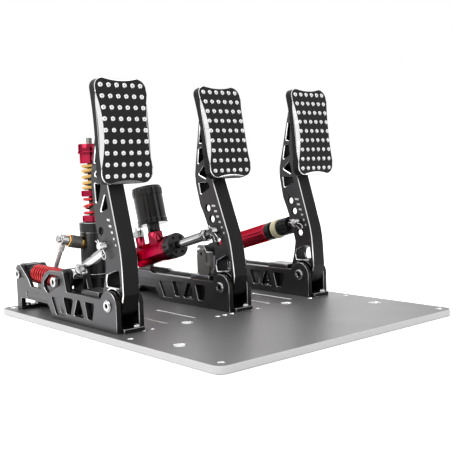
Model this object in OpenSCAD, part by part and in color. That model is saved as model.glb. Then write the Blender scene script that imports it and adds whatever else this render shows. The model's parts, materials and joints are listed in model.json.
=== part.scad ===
// Three-pedal set for a driving simulator on a grey base plate: clutch, hydraulic brake and throttle.
// X runs to the driver's right, Y away from the driver and Z up.
// The origin is the centre of the plate's underside.

/* [Base plate] */
// Width of the plate
plate_w = 365; // [352:1:420]
// Length of the plate, front to rear
plate_l = 442; // [440:1:480]
// Thickness of the plate
plate_t = 8; // [5:0.5:12]
// Radius of the plate's corners
plate_corner_r = 12; // [6:1:20]
// Distance of the corner holes from the edges
corner_inset = 12.5; // [10:0.5:20]
// Radius of the corner holes
corner_hole_r = 2.75; // [2:0.25:3.5]
// Radius of the large holes
large_hole_r = 6.5; // [4:0.5:8]
// Radius of the small tapped holes
small_hole_r = 2.5; // [1.5:0.25:3]
// Width of the long slots
slot_w = 4; // [3:0.5:6]
// Length of the long slots
slot_l = 75; // [60:1:90]

/* [Pedal places] */
// Clutch pedal from the middle of the plate
clutch_x = -152; // [-156:1:-148]
// Brake pedal from the middle of the plate
brake_x = 8; // [4:1:12]
// Throttle pedal from the middle of the plate
throttle_x = 146; // [142:1:150]
// Pivot line from the driver's edge of the plate
pivot_setback = 200; // [198:0.5:206]
// Pivot line above the plate
pivot_h = 29.2; // [28:0.2:31]

/* [Frames] */
// Outer width of a pedal frame
frame_w = 36; // [35:0.5:38]
// Thickness of a frame's side walls
wall_t = 6.5; // [5.5:0.25:6.5]
// Thickness of a frame's floor
floor_t = 5; // [4:0.5:7]
// Radius of the round ears at the pivot
boss_r = 16; // [14:0.5:17]
// Height of the side rail above the plate
rail_h = 35; // [34:0.5:37]
// Rear pivot bolt behind the pedal pivot
rear_bolt_y = 210.5; // [209:0.5:211.5]
// Rear pivot bolt above the plate
rear_bolt_h = 46; // [45:0.5:47]
// Radius of the rear ears
ear_r = 10.5; // [9.5:0.5:11]
// Radius of the pivot bolts
bolt_r = 4; // [3:0.25:4.5]
// Radius of the button heads
head_r = 6.7; // [6:0.1:8]
// Thickness of the button heads
head_t = 2.4; // [1.8:0.1:3]

/* [Pedal arms] */
// Width of an arm across both cheeks
arm_w = 21.5; // [20:0.5:21.5]
// Thickness of an arm's cheeks
cheek_t = 3.5; // [3:0.25:4]
// Thickness of an arm's front web
web_t = 4; // [3:0.5:5]
// Radius of the adjusting holes
adjust_hole_r = 4.2; // [4:0.1:4.4]
// Lean of the clutch arm towards the driver
clutch_lean = 6.5; // [5.5:0.5:7]
// Lean of the throttle arm towards the driver
throttle_lean = 4.6; // [4:0.1:5]
// Outer radius of the pivot bushes
bush_r = 8; // [7:0.5:9]
// Running clearance of a turning fit
fit = 0.05; // [0.02:0.01:0.08]
// Gap between parts that move past each other
gap = 0.3; // [0.3:0.05:0.5]

/* [Pads] */
// Width of a pad
pad_w = 65; // [60:1:70]
// Height of a pad
pad_h = 112; // [108:1:116]
// Thickness of a pad
pad_t = 11; // [9:0.5:12]
// Radius of the pad's bowed face
pad_bow_r = 340; // [300:10:400]
// Radius of the pad's corners
pad_corner_r = 11; // [8:0.5:13]
// Depth of the scooped bevels on the sides
scoop = 4.5; // [3:0.25:5]
// Lean of the pad away from the driver
pad_lean = 10.8; // [9:0.2:12]
// Studs across a pad
stud_columns = 6; // [3:1:6]
// Studs up a pad
stud_rows = 9; // [4:1:9]
// Spacing of the studs across
stud_pitch_x = 10; // [9:0.25:10.5]
// Spacing of the studs up the pad
stud_pitch_z = 12; // [10:0.25:12.25]
// Radius of a stud
stud_r = 2.3; // [1.8:0.1:2.6]
// Height of a stud
stud_h = 1; // [0.6:0.1:1.4]

/* [Clutch linkage] */
// Rocker pivot behind the pedal pivot
rocker_y = 106; // [105:0.5:107]
// Rocker pivot above the plate
rocker_h = 11.5; // [11:0.25:12]
// Link joint behind the rocker pivot
joint_y = -8; // [-8.5:0.25:-7.5]
// Link joint above the rocker pivot
joint_h = 42.5; // [42:0.25:43]
// Trunnion bolt behind the rocker pivot
trunnion_y = 5; // [4.5:0.25:5.5]
// Trunnion bolt above the rocker pivot
trunnion_h = 34; // [33.5:0.25:34.5]
// Radius of the trunnion bolt
trunnion_r = 4; // [3.5:0.25:4.25]
// Thickness of the rocker's two plates
rocker_t = 3.5; // [3:0.25:4]
// Outer width of the rocker
rocker_w = 21; // [20:0.5:22]
// Width across flats of the link
link_af = 10; // [9:0.5:11]

/* [Springs] */
// Outer radius of the clutch spring
clutch_spring_r = 12.1; // [11.4:0.1:12.3]
// Wire of the clutch spring
clutch_spring_wire = 3.2; // [2.6:0.1:3.4]
// Turns of the clutch spring
clutch_spring_turns = 12; // [9:1:13]
// Outer radius of the upper brake spring
upper_spring_r = 11.6; // [10.5:0.1:11.8]
// Turns of the upper brake spring
upper_spring_turns = 5; // [4:1:6]
// Outer radius of the lower brake spring
lower_spring_r = 11.2; // [10.5:0.1:11.6]
// Turns of the lower brake spring
lower_spring_turns = 3; // [2:1:4]
// Wire of the two brake springs
brake_spring_wire = 3.2; // [2.6:0.1:3.4]

/* [Brake hydraulics] */
// Upright spring cylinder from the middle of the plate
slave_x = -104; // [-106:0.5:-102]
// Upright spring cylinder behind the pivot line
slave_y = 133; // [130:0.5:136]
// Radius of the upright cylinder
slave_r = 16.5; // [15:0.5:17]
// Top of the upright cylinder's body above the plate
slave_body_h = 99; // [96:0.5:102]
// Radius of the spring seats
seat_r = 12.4; // [12:0.1:13]
// Radius of the brake push rod
push_rod_r = 4.6; // [4:0.1:5]
// Across flats of the master cylinder
master_af = 29; // [27:0.5:30]
// Radius of the fluid reservoir
reservoir_r = 21; // [19:0.5:22]
// Height of the fluid reservoir
reservoir_h = 52; // [46:0.5:56]
// Radius of the braided hose
hose_r = 3; // [2.5:0.1:3.4]

/* [Throttle damper] */
// Radius of the damper tube
damper_r = 12.6; // [11.5:0.1:13]
// Length of the damper tube
damper_tube_l = 98; // [94:1:100]
// Radius of the damper's inner rod
damper_rod_r = 8.5; // [7.5:0.25:9]
// Radius of the preload knob
knob_r = 12; // [11:0.25:13]
// Radius of the bump ring
ring_r = 13.4; // [12.5:0.1:14]

/* [Hidden] */

pivot_y = pivot_setback - plate_l / 2;
pivot_z = plate_t + pivot_h;
inner_w = frame_w - 2 * wall_t;
tail_y = rear_bolt_y + 6.8;
top_z = plate_t;
corner_x = plate_w / 2 - corner_inset;
corner_y = plate_l / 2 - corner_inset;
outer_hole_x = 153.5;
outer_hole_y = 95.5 - plate_l / 2;
inner_hole_x = 80;
inner_hole_y = 178.5 - plate_l / 2;
hole_row_y = 179.2 - plate_l / 2;
row_pitch = 11;
slot_start_y = 193 - plate_l / 2;
channel_front = -boss_r - 1;
foot_reach = 5;
// Floor screws: side and place behind the pivot
screw_places = [[1, -16], [-1, 76], [1, 76], [-1, 211], [1, 211]];
// Wider channel round the clutch spring
spring_channel_w = 26;
spring_channel_y = [98, 204];
spring_channel_h = 23;
sensor_block_y = [29, 66];
sensor_block_h = 40;
web_corner = 1.6;

// Undercut under the rear of a frame, closed by the right wall: front foot, front top, rear top
undercut_y = [124, 136, 206];
undercut_h = 16;
// Hook round the clutch's trunnion bolt
hook_front = 89.5;
hook_top_front = 95.7;
hook_top_rear = 131;
hook_rear = 150.5;
hook_h = 58;
hook_wall = 5.5;

// Adjusting holes on an arm, from the pivot: Y and Z
arm_holes = [[28, 95.6], [20.6, 82.3], [14.3, 68.6], [8.7, 54.8]];
arm_pin = arm_holes[2];
clutch_holes = [[28, 77.5], [20, 62.5]];
clutch_pin_at = clutch_holes[1];

pin_r = adjust_hole_r - 0.1;
eye_r = 8;
eye_play = 0.8;
joint_pin_r = 3;
thread_r = 2.4;

// Turns a point round the pivot by a lean towards the driver
function leaned(p, lean) = [
    p[0] * cos(lean) - p[1] * sin(lean),
    p[0] * sin(lean) + p[1] * cos(lean)
];
function span(a, b) = norm([b[0] - a[0], b[1] - a[1]]);
function fall(a, b) = atan2(a[1] - b[1], b[0] - a[0]);

rear_at = [rear_bolt_y, rear_bolt_h - pivot_h];
brake_pin_at = arm_pin;
throttle_pin_at = leaned(arm_pin, throttle_lean);
clutch_pin_place = leaned(clutch_pin_at, clutch_lean);
rocker_at = [rocker_y, rocker_h - pivot_h];
joint_at = [rocker_y + joint_y, rocker_h + joint_h - pivot_h];
trunnion_at = [rocker_y + trunnion_y, rocker_h + trunnion_h - pivot_h];
brake_l = span(brake_pin_at, rear_at);
throttle_l = span(throttle_pin_at, rear_at);
link_l = span(clutch_pin_place, joint_at);
guide_l = span(trunnion_at, rear_at);

// Places along the brake line, from the pin
clevis_l = 18;
rod_nut_s = 30;
master_front = 94;
master_ring_t = 14;
master_collar_t = 12;
master_rear = 184;
feed_s = 141;
outlet_s = 178.5;
boss_top = 27;
neck_top = 38;
master_bore = 4.6;

// Places along the throttle line, from the pin
knob_start = 23;
knob_end = 43;
ring_end = 54;
cap_start = 58;
cap_end = 67;
rod_start = 100;
rod_collar = 194;

// Heights on the upright spring cylinder, above the plate
slave_waist_h = 46;
slave_foot_h = 5;
slave_ring_h = slave_body_h + 12;
seat_start = slave_ring_h + 1;
slave_seat_h = seat_start + 7.5;
lower_spring_top = slave_seat_h + 23.9;
collar_top = lower_spring_top + 7.3;
upper_spring_top = collar_top + 33.8;
slave_cap_top = upper_spring_top + 24;
slave_stud_top = slave_cap_top + 7.5;

// Places along the clutch spring, from the trunnion
guide_seat_s = [7, 13];
block_seat_s = 81;
guide_rod_r = 3.8;
guide_end = 97;

// Outline with rounded corners: each corner becomes an arc of short steps
function corner_arc(a, b, c, r, n) =
    let (u = (a - b) / norm(a - b), v = (c - b) / norm(c - b))
    let (half = acos(max(-1, min(1, u * v))) / 2)
    let (reach = min(r / tan(half), norm(a - b) * 0.48, norm(c - b) * 0.48))
    let (rr = reach * tan(half), w = (u + v) / norm(u + v), mid = b + w * rr / sin(half))
    let (s = b + u * reach - mid, e = b + v * reach - mid)
    let (turn = 180 - 2 * half, side = sign(s[0] * e[1] - s[1] * e[0]))
    [for (i = [0 : n]) let (t = side * turn * i / n)
        mid + [s[0] * cos(t) - s[1] * sin(t), s[0] * sin(t) + s[1] * cos(t)]];
function rounded(pts, r, n = 3) = [
    for (i = [0 : len(pts) - 1])
        each corner_arc(pts[(i + len(pts) - 1) % len(pts)], pts[i], pts[(i + 1) % len(pts)], r, n)
];

// A side outline in Y and Z, given thickness along X round the middle
module side(pts, thick) {
    rotate([90, 0, 90]) linear_extrude(height = thick, center = true) polygon(pts);
}
// A rod along X at a place in Y and Z
module cross_rod(at, r, from, to) {
    translate([from, at[0], at[1]]) rotate([0, 90, 0]) cylinder(h = to - from, r = r, $fn = 48);
}
// Puts its children at a pedal's pivot, on the plate
module at_pedal(x) {
    translate([x, pivot_y, pivot_z]) children();
}
// Z runs from a pin to the rear bolt and minus Y is up, square to that line
module along(x, at, to) {
    at_pedal(x) translate([0, at[0], at[1]]) rotate([-90 - fall(at, to), 0, 0]) children();
}
module ring_at(s, len, r, hole = 0) {
    translate([0, 0, s]) difference() {
        cylinder(h = len, r = r, $fn = 64);
        if (hole > 0) translate([0, 0, -1]) cylinder(h = len + 2, r = hole, $fn = 48);
    }
}
module hex_at(s, len, af) {
    translate([0, 0, s]) cylinder(h = len, r = af / 2 / cos(30), $fn = 6);
}

// Tube of n sides along a list of points, closed at both ends
function unit(v) = v / norm(v);
function heading(p, i) = unit(p[min(i + 1, len(p) - 1)] - p[max(i - 1, 0)]);
function swept_rings(p, r, n, up) = [
    for (i = [0 : len(p) - 1])
        let (t = heading(p, i), a = unit(cross(t, up)), b = cross(t, a))
        for (k = [0 : n - 1]) p[i] + r * (a * cos(360 * k / n) + b * sin(360 * k / n))
];
function swept_faces(m, n) = concat(
    [[for (k = [0 : n - 1]) k]],
    [for (i = [0 : m - 2]) for (k = [0 : n - 1]) [i * n + k, i * n + n + k, i * n + n + (k + 1) % n]],
    [for (i = [0 : m - 2]) for (k = [0 : n - 1])
        [i * n + k, i * n + n + (k + 1) % n, i * n + (k + 1) % n]],
    [[for (k = [n - 1 : -1 : 0]) (m - 1) * n + k]]
);
module swept(p, r, n, up) {
    polyhedron(points = swept_rings(p, r, n, up), faces = swept_faces(len(p), n));
}

// Helix along Z whose first and last turn close up; ends are cut flat
coil_rings = 8;
function coil_rise(t, turns, wire, height) =
    let (closed = wire + 0.5, open = (height - wire - 2 * closed) / (turns - 2))
    t < 1 ? closed * t : t > turns - 1 ? closed + open * (turns - 2) + closed * (t - turns + 1)
        : closed + open * (t - 1);
function coil(r, wire, turns, height) = [
    for (i = [0 : turns * coil_rings])
        let (t = i / coil_rings)
        [(r - wire / 2) * cos(360 * t), (r - wire / 2) * sin(360 * t),
            wire / 2 + coil_rise(t, turns, wire, height)]
];
function coil_gap(p, wire) = min([
    for (i = [0 : len(p) - 1 - coil_rings / 2]) for (j = [i + coil_rings / 2 : len(p) - 1])
        norm(p[i] - p[j])
]) - wire;
module spring(r, wire, turns, height) {
    p = coil(r, wire, turns, height);
    flat = wire * 0.12;
    intersection() {
        swept(p, wire / 2, 6, [0, 0, 1]);
        translate([-2 * r, -2 * r, flat]) cube([4 * r, 4 * r, height - 2 * flat]);
    }
}
spring_flat = 0.12;

// Base plate

module slotted_plate() {
    difference() {
        union() {
            translate([-plate_w / 2 + plate_corner_r, -plate_l / 2, 0])
                cube([plate_w - 2 * plate_corner_r, plate_l, plate_t]);
            translate([-plate_w / 2, -plate_l / 2 + plate_corner_r, 0])
                cube([plate_w, plate_l - 2 * plate_corner_r, plate_t]);
            for (sx = [-1, 1]) for (sy = [-1, 1])
                translate([sx * (plate_w / 2 - plate_corner_r), sy * (plate_l / 2 - plate_corner_r), 0])
                    cylinder(h = plate_t, r = plate_corner_r, $fn = 64);
        }
        for (sx = [-1, 1]) {
            for (sy = [-1, 1]) plate_hole(sx * corner_x, sy * corner_y, corner_hole_r);
            plate_hole(sx * outer_hole_x, outer_hole_y, large_hole_r);
            plate_hole(sx * inner_hole_x, inner_hole_y, large_hole_r);
            plate_hole(sx * 171, 157 - plate_l / 2, small_hole_r);
            for (x = [10.5, 22, 22 + row_pitch]) plate_hole(sx * x, hole_row_y, small_hole_r);
            for (i = [0, 1]) plate_hole(sx * (126 + i * row_pitch), hole_row_y, small_hole_r);
        }
        for (x = [-97.4, -57, 64.5, 103.9]) translate([x, slot_start_y, -1]) {
            translate([-slot_w / 2, slot_w / 2, 0]) cube([slot_w, slot_l - slot_w, plate_t + 2]);
            for (y = [slot_w / 2, slot_l - slot_w / 2]) translate([0, y, 0])
                cylinder(h = plate_t + 2, r = slot_w / 2, $fn = 32);
        }
    }
}
module plate_hole(x, y, r) {
    translate([x, y, -1]) cylinder(h = plate_t + 2, r = r, $fn = 48);
}
module base_plate() {
    color("dimgray") slotted_plate();
}

// Frames

function rear_outline(clutch) = clutch ? [
    [tail_y, 0], [tail_y, rear_bolt_h + 9], [tail_y - 5, hook_h], [tail_y - 12, hook_h],
    [184.5, 41.5], [177.6, rail_h - 2.5], [hook_rear + 1.5, rail_h - 2.5], [hook_rear, 42],
    [143, 52], [hook_top_rear, hook_h - 1], [hook_top_front, hook_h], [hook_front, rail_h]
] : [
    [tail_y, 0], [tail_y, rear_bolt_h + 4], [tail_y - 3, rear_bolt_h + ear_r],
    [rear_bolt_y - 10, rear_bolt_h + ear_r],
    [186, rail_h + 2.5], [148, rail_h + 2.5], [140, rail_h]
];
function frame_outline(clutch) = concat(
    [[-boss_r, 0], [-boss_r, pivot_h]], [[0, pivot_h + boss_r * 0.4], [boss_r * 0.9, rail_h]],
    [for (i = [len(rear_outline(clutch)) - 1 : -1 : 0]) rear_outline(clutch)[i]]
);
// Rounds every corner that stands clear of the plate
function frame_profile(clutch) = let (p = frame_outline(clutch), n = len(p)) [
    for (i = [0 : n - 1])
        each (p[i][1] == 0 ? [p[i]] : corner_arc(p[(i + n - 1) % n], p[i], p[(i + 1) % n], 2, 3))
];
window_low = 9;
window_high = 28.3;
// Truss windows: rear top, front top, front bottom, rear bottom, all as Y from the pivot
windows = [[98.5, 74.5, 81.4, 91], [66, 59.5, 51, 75], [49.5, 28, 33.5, 43.8]];
module truss_window(w) {
    side(rounded([[w[0], window_high], [w[1], window_high], [w[2], window_low], [w[3], window_low]], 2.2, 4),
        frame_w + 2);
}
module side_recess(pts, depth) {
    for (s = [-1, 1]) translate([s * (frame_w / 2 - depth / 2 + 0.5), 0, 0])
        side(rounded(pts, 1.5), depth + 1);
}
module frame_body(clutch) {
    difference() {
        union() {
            side(frame_profile(clutch), frame_w);
            cross_rod([0, pivot_h], boss_r, -frame_w / 2, frame_w / 2);
            translate([-inner_w / 2, -boss_r - foot_reach, 0])
                cube([inner_w / 2 + frame_w / 2 - 2.5, foot_reach + 6, floor_t]);
        }
        translate([-inner_w / 2, channel_front, floor_t]) cube([inner_w, tail_y - channel_front + 1, 80]);
        if (clutch) translate([-spring_channel_w / 2, spring_channel_y[0], spring_channel_h])
            cube([spring_channel_w, spring_channel_y[1] - spring_channel_y[0], 80]);
        for (w = windows) truss_window(w);
        translate([-(wall_t + 1) / 2, 0, 0])
            side(concat([[undercut_y[0], -1]], rounded_step(), [[undercut_y[2], -1]]), frame_w - wall_t + 1);
        side_recess([[127, 25.7], [103, 26.2], [95, 6], [116, 5.5]], 2);
        side_recess([[191, 26], [134.5, 26], [134.5, 18.5], [191, 18.5]], 0.8);
        cross_rod([0, pivot_h], bolt_r, -frame_w, frame_w);
        if (clutch) {
            side(rounded(hook_opening(), 7, 8), frame_w + 2);
            cross_rod([rocker_y, rocker_h], joint_pin_r, -frame_w, frame_w);
        }
        cross_rod([rear_bolt_y, rear_bolt_h], bolt_r, -frame_w, frame_w);
        for (p = screw_places) translate([p[0] * (inner_w / 2 - 4.5), p[1], -1])
            cylinder(h = floor_t + 2, r = thread_r, $fn = 32);
    }
}
function rounded_step() = [
    [undercut_y[0], 0], [undercut_y[0] + 3, 3], [undercut_y[1] - 3, undercut_h - 3],
    [undercut_y[1], undercut_h], [undercut_y[2], undercut_h]
];
function hook_opening() = [
    [trunnion_at[0] - 6, rear_bolt_h - 4.5], [135, 28.5], [144.5, 36], [144.5, 43],
    [131, hook_h - hook_wall], [trunnion_at[0] - 6, hook_h - hook_wall]
];
module frame_node(x, clutch) {
    translate([x, pivot_y, top_z]) {
        color("dimgray") frame_body(clutch);
        color("dimgray") sensor_block();
    }
}
// Closed block on the floor between the walls, seated on the floor and held by it
module sensor_block() {
    translate([-inner_w / 2, sensor_block_y[0], floor_t - 0.01])
        cube([inner_w, sensor_block_y[1] - sensor_block_y[0], sensor_block_h - floor_t + 0.01]);
}
module clutch_frame() { frame_node(clutch_x, true); }
module brake_frame() { frame_node(brake_x, false); }
module throttle_frame() { frame_node(throttle_x, false); }

// Bolts across the frames

socket_r = 2.9;
socket_depth = 3.2;
module hex_socket(at, face) {
    translate([face - 1, at[0], at[1]]) rotate([0, 90, 0])
        cylinder(h = 1 + socket_depth, r = socket_r, $fn = 6);
}
module button_bolt(at, len_l, len_r) {
    difference() {
        union() {
            cross_rod(at, bolt_r, -len_l, len_r);
            cross_rod(at, head_r, -len_l - head_t * 0.6, -len_l);
            cross_rod(at, head_r * 0.86, -len_l - head_t, -len_l - head_t * 0.6);
        }
        hex_socket(at, -len_l - head_t);
    }
    translate([len_r, at[0], at[1]]) rotate([0, 90, 0]) cylinder(h = 5, r = 6.5 / cos(30), $fn = 6);
}
module through_bolt(x, at) {
    color("silver") at_pedal(x) button_bolt(at, frame_w / 2, frame_w / 2);
}
module clutch_pivot_bolt() { through_bolt(clutch_x, [0, 0]); }
module brake_pivot_bolt() { through_bolt(brake_x, [0, 0]); }
module throttle_pivot_bolt() { through_bolt(throttle_x, [0, 0]); }
module brake_rear_bolt() { through_bolt(brake_x, rear_at); }
module throttle_rear_bolt() { through_bolt(throttle_x, rear_at); }
stub_reach = 5;
module clutch_rear_pivots() {
    color("silver") at_pedal(clutch_x) for (s = [0, 1]) mirror([s, 0, 0]) {
        difference() {
            union() {
                cross_rod(rear_at, bolt_r, -frame_w / 2, -inner_w / 2 + stub_reach);
                cross_rod(rear_at, head_r * 0.85, -frame_w / 2 - head_t, -frame_w / 2);
            }
            hex_socket(rear_at, -frame_w / 2 - head_t);
        }
    }
}
module clutch_rocker_bolt() {
    color("black") at_pedal(clutch_x) cross_rod(rocker_at, joint_pin_r, -frame_w / 2 + 2, frame_w / 2 - 2);
}

// Arms

arm_front = [[-15, -5], [-18.5, 14.2], [-14.8, 41], [-12.7, 52.5], [-9.4, 64.5], [17, 129.5],
    [21.3, 150], [23.8, 190], [26.8, 226]];
arm_rear_top = [[33, 229], [37, 222], [40.9, 201.7], [44.6, 179.5], [49, 153.5], [51.4, 138], [50.6, 126]];
arm_rear_low = [[43, 99], [35.7, 86], [29.8, 74], [21.6, 54.4], [17, 42], [18.6, 26], [22, 9],
    [21, -3], [9, -12], [-7, -12.5]];
clutch_rear_low = [[44.6, 104.6], [39.8, 82], [30, 62], [21, 50], [17, 42], [18.6, 26], [22, 9],
    [21, -3], [9, -12], [-7, -12.5]];
function arm_corners(clutch) = concat(arm_front, arm_rear_top, clutch ? clutch_rear_low : arm_rear_low);
// The front keeps its creases; the rear and the hub are rounded
function arm_outline(clutch) = let (p = arm_corners(clutch), n = len(p)) [
    for (i = [0 : n - 1])
        each (i < len(arm_front) ? [p[i]] : corner_arc(p[i - 1], p[i], p[(i + 1) % n], 12, 3))
];
low_window = [[14, 31], [-3, 38.8], [-9, 39.5], [-12.4, 24], [-9.3, 20.6], [13.5, 18], [15.2, 24.5]];
arm_windows = [
    [[44.2, 127], [26.8, 127.5], [23, 121.5], [40.8, 112.5]],
    [[44.6, 137.5], [33, 148.5], [27.2, 131]],
    [[45, 149.5], [42.4, 169.3], [35.9, 170.4], [33, 157]],
    [[41, 176], [34.5, 176], [33.5, 200], [38, 200]]
];
clutch_windows = [
    [[30.3, 98], [15.6, 104.4], [21.6, 120.5]],
    [[43.8, 128.6], [30.6, 128.1], [34.5, 112], [39, 105.3]],
    [[44.6, 137.5], [33, 148.5], [27.2, 133]],
    [[45, 149.5], [42.4, 169.3], [35.9, 170.4], [33, 157]],
    [[41, 176], [34.5, 176], [33.5, 200], [38, 200]]
];
hub_relief = 0.8;
hub_r = 18;
// Hollow between the cheeks, open to the rear, with the front web left standing
function arm_hollow() = concat(
    [arm_front[1] + [web_t, 2]],
    [for (i = [2, 4, 5, 6, 7]) arm_front[i] + [web_t, -3]],
    [[60, arm_front[7][1] - 3], [60, arm_front[1][1] + 2]]
);
module arm_body(clutch) {
    pocket = arm_w - 2 * cheek_t;
    holes = clutch ? clutch_holes : arm_holes;
    difference() {
        side(arm_outline(clutch), arm_w);
        side(arm_hollow(), pocket);
        side(rounded(low_window, 1.5), arm_w + 2);
        for (w = clutch ? clutch_windows : arm_windows) side(rounded(w, 1.5), arm_w + 2);
        for (h = holes) cross_rod(h, adjust_hole_r, -arm_w, arm_w);
        cross_rod([0, 0], bush_r, -arm_w, arm_w);
        for (s = [-1, 1]) translate([s * (arm_w / 2 - hub_relief / 2 + 0.5), 0, 0]) rotate([0, 90, 0])
            cylinder(h = hub_relief + 1, r = hub_r, center = true, $fn = 96);
    }
}
module lean(x, angle) {
    at_pedal(x) rotate([angle, 0, 0]) children();
}
module clutch_arm() { color("dimgray") lean(clutch_x, clutch_lean) arm_body(true); }
module brake_arm() { color("dimgray") lean(brake_x, 0) arm_body(false); }
module throttle_arm() { color("dimgray") lean(throttle_x, throttle_lean) arm_body(false); }

module bush(x) {
    color("darkgoldenrod") at_pedal(x) difference() {
        cross_rod([0, 0], bush_r, -inner_w / 2 + gap, inner_w / 2 - gap);
        cross_rod([0, 0], bolt_r + fit, -frame_w, frame_w);
    }
}
module clutch_bush() { bush(clutch_x); }
module brake_bush() { bush(brake_x); }
module throttle_bush() { bush(throttle_x); }

// Pads

pad_mid = [-0.5, 189.4];
// Face frame: Y is the depth behind the face's middle and Z runs up the pad
module on_pad() {
    translate([0, pad_mid[0], pad_mid[1]]) rotate([-pad_lean, 0, 0]) children();
}
module bowed_slab(front, back) {
    translate([0, pad_bow_r, 0]) rotate([0, 90, 0]) difference() {
        cylinder(h = pad_w * 2, r = pad_bow_r - front, center = true, $fn = 360);
        cylinder(h = pad_w * 3, r = pad_bow_r - back, center = true, $fn = 360);
    }
}
module pad_outline(depth) {
    rotate([90, 0, 0]) translate([0, 0, -depth]) linear_extrude(height = depth + 20) union() {
        square([pad_w - 2 * pad_corner_r, pad_h], center = true);
        square([pad_w, pad_h - 2 * pad_corner_r], center = true);
        for (sx = [-1, 1]) for (sz = [-1, 1])
            translate([sx * (pad_w / 2 - pad_corner_r), sz * (pad_h / 2 - pad_corner_r)])
                circle(r = pad_corner_r, $fn = 48);
    }
}
// How far the bowed face has dropped back at the top and bottom edges, and how deep their scoops go
end_drop = pad_h * pad_h / (8 * pad_bow_r);
end_cut = 2.8;
// Radius of the arc that cuts in by the scoop over the straight part of an edge
function scoop_r(chord) = (chord * chord / 4 + scoop * scoop) / (2 * scoop);
module scoop_cut(edge, chord, depth) {
    r = scoop_r(chord);
    translate([0, depth, 0]) rotate([90, 0, 0]) translate([edge + r - 0.6, 0, 0])
        cylinder(h = depth + 6, r1 = r - depth * 0.9, r2 = r + 5.4, $fn = 360);
}
stud_z = [for (j = [0 : stud_rows - 1]) (j - (stud_rows - 1) / 2) * stud_pitch_z];
module pad_studs() {
    for (z = stud_z) {
        turn = asin(z / pad_bow_r);
        translate([0, pad_bow_r, 0]) rotate([turn, 0, 0]) translate([0, -pad_bow_r, 0])
            for (i = [0 : stud_columns - 1])
                translate([(i - (stud_columns - 1) / 2) * stud_pitch_x, 1, 0]) rotate([90, 0, 0])
                    cylinder(h = 1 + stud_h, r = stud_r, $fn = 16);
    }
}
module pad_body() {
    on_pad() {
        difference() {
            intersection() {
                bowed_slab(0, pad_t);
                pad_outline(40);
            }
            for (s = [0, 1]) mirror([s, 0, 0]) scoop_cut(pad_w / 2 - scoop, pad_h - 10, 4);
            for (s = [1, -1]) rotate([0, s * 90, 0])
                scoop_cut(pad_h / 2 - end_cut - 0.9 * end_drop + 0.6, pad_w - 6, end_drop + 6);
        }
        pad_studs();
    }
}
bracket_w = 18.4;
bracket_outline = concat(
    [[2, 138], [13, 133], arm_front[5] + [1.3, 6]],
    [for (i = [6, 7]) arm_front[i]],
    [arm_front[8] - [0.7, 6], [12, 222], [2, 190]]
);
module pad_bracket() {
    difference() {
        side(bracket_outline, bracket_w);
        on_pad() translate([0, pad_bow_r, 0]) rotate([0, 90, 0]) difference() {
            cylinder(h = pad_w, r = pad_bow_r + 40, center = true, $fn = 360);
            cylinder(h = pad_w + 2, r = pad_bow_r - pad_t, center = true, $fn = 360);
        }
    }
}
module clutch_pad() { color("black") lean(clutch_x, clutch_lean) pad_body(); }
module brake_pad() { color("black") lean(brake_x, 0) pad_body(); }
module throttle_pad() { color("black") lean(throttle_x, throttle_lean) pad_body(); }
module clutch_pad_bracket() { color("black") lean(clutch_x, clutch_lean) pad_bracket(); }
module brake_pad_bracket() { color("black") lean(brake_x, 0) pad_bracket(); }
module throttle_pad_bracket() { color("black") lean(throttle_x, throttle_lean) pad_bracket(); }

// Clevis pins with their hairpin clips

clip_wire_r = 0.9;
clip_turn = -50;
throttle_clip_turn = -80;
clip_x = arm_w / 2 + 4.5;
pin_tip = clip_x + 3.5;
module pin_body(at, turn) {
    difference() {
        union() {
            cross_rod(at, pin_r, -pin_tip, arm_w / 2);
            cross_rod(at, pin_r + 1.6, arm_w / 2, arm_w / 2 + 2.5);
        }
        translate([-clip_x, at[0], at[1]]) rotate([turn, 0, 0]) translate([0, 0, -10])
            cylinder(h = 20, r = clip_wire_r + 0.15, $fn = 24);
    }
}
// Straight leg through the pin, a round bend, and a second leg that hugs the pin
function clip_path(r) = concat(
    [for (i = [0 : 3]) [0, 9 - i * 6]],
    [for (a = [0 : 45 : 225]) [3.4 - 3.4 * cos(a), -11.5 - 3.4 * sin(a)]],
    [for (a = [-50 : 25 : 50]) [(r + 2.1) * cos(a), (r + 2.1) * sin(a)]],
    [[3.2, 8], [4.6, 11]]
);
module clip_body(at, turn) {
    pts = [for (p = clip_path(pin_r)) [0, p[0], p[1]]];
    translate([-clip_x, at[0], at[1]]) rotate([turn, 0, 0]) swept(pts, clip_wire_r, 6, [1, 0, 0]);
}
module clutch_pin() { color("silver") lean(clutch_x, clutch_lean) pin_body(clutch_pin_at, clip_turn); }
module brake_pin() { color("silver") lean(brake_x, 0) pin_body(arm_pin, clip_turn); }
module throttle_pin() {
    color("silver") lean(throttle_x, throttle_lean) pin_body(arm_pin, throttle_clip_turn);
}
module clutch_clip() { color("silver") lean(clutch_x, clutch_lean) clip_body(clutch_pin_at, clip_turn); }
module brake_clip() { color("silver") lean(brake_x, 0) clip_body(arm_pin, clip_turn); }
module throttle_clip() {
    color("silver") lean(throttle_x, throttle_lean) clip_body(arm_pin, throttle_clip_turn);
}

// Clutch link: an eye on the arm's pin, a hexagon body and a ball end on the rocker

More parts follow.
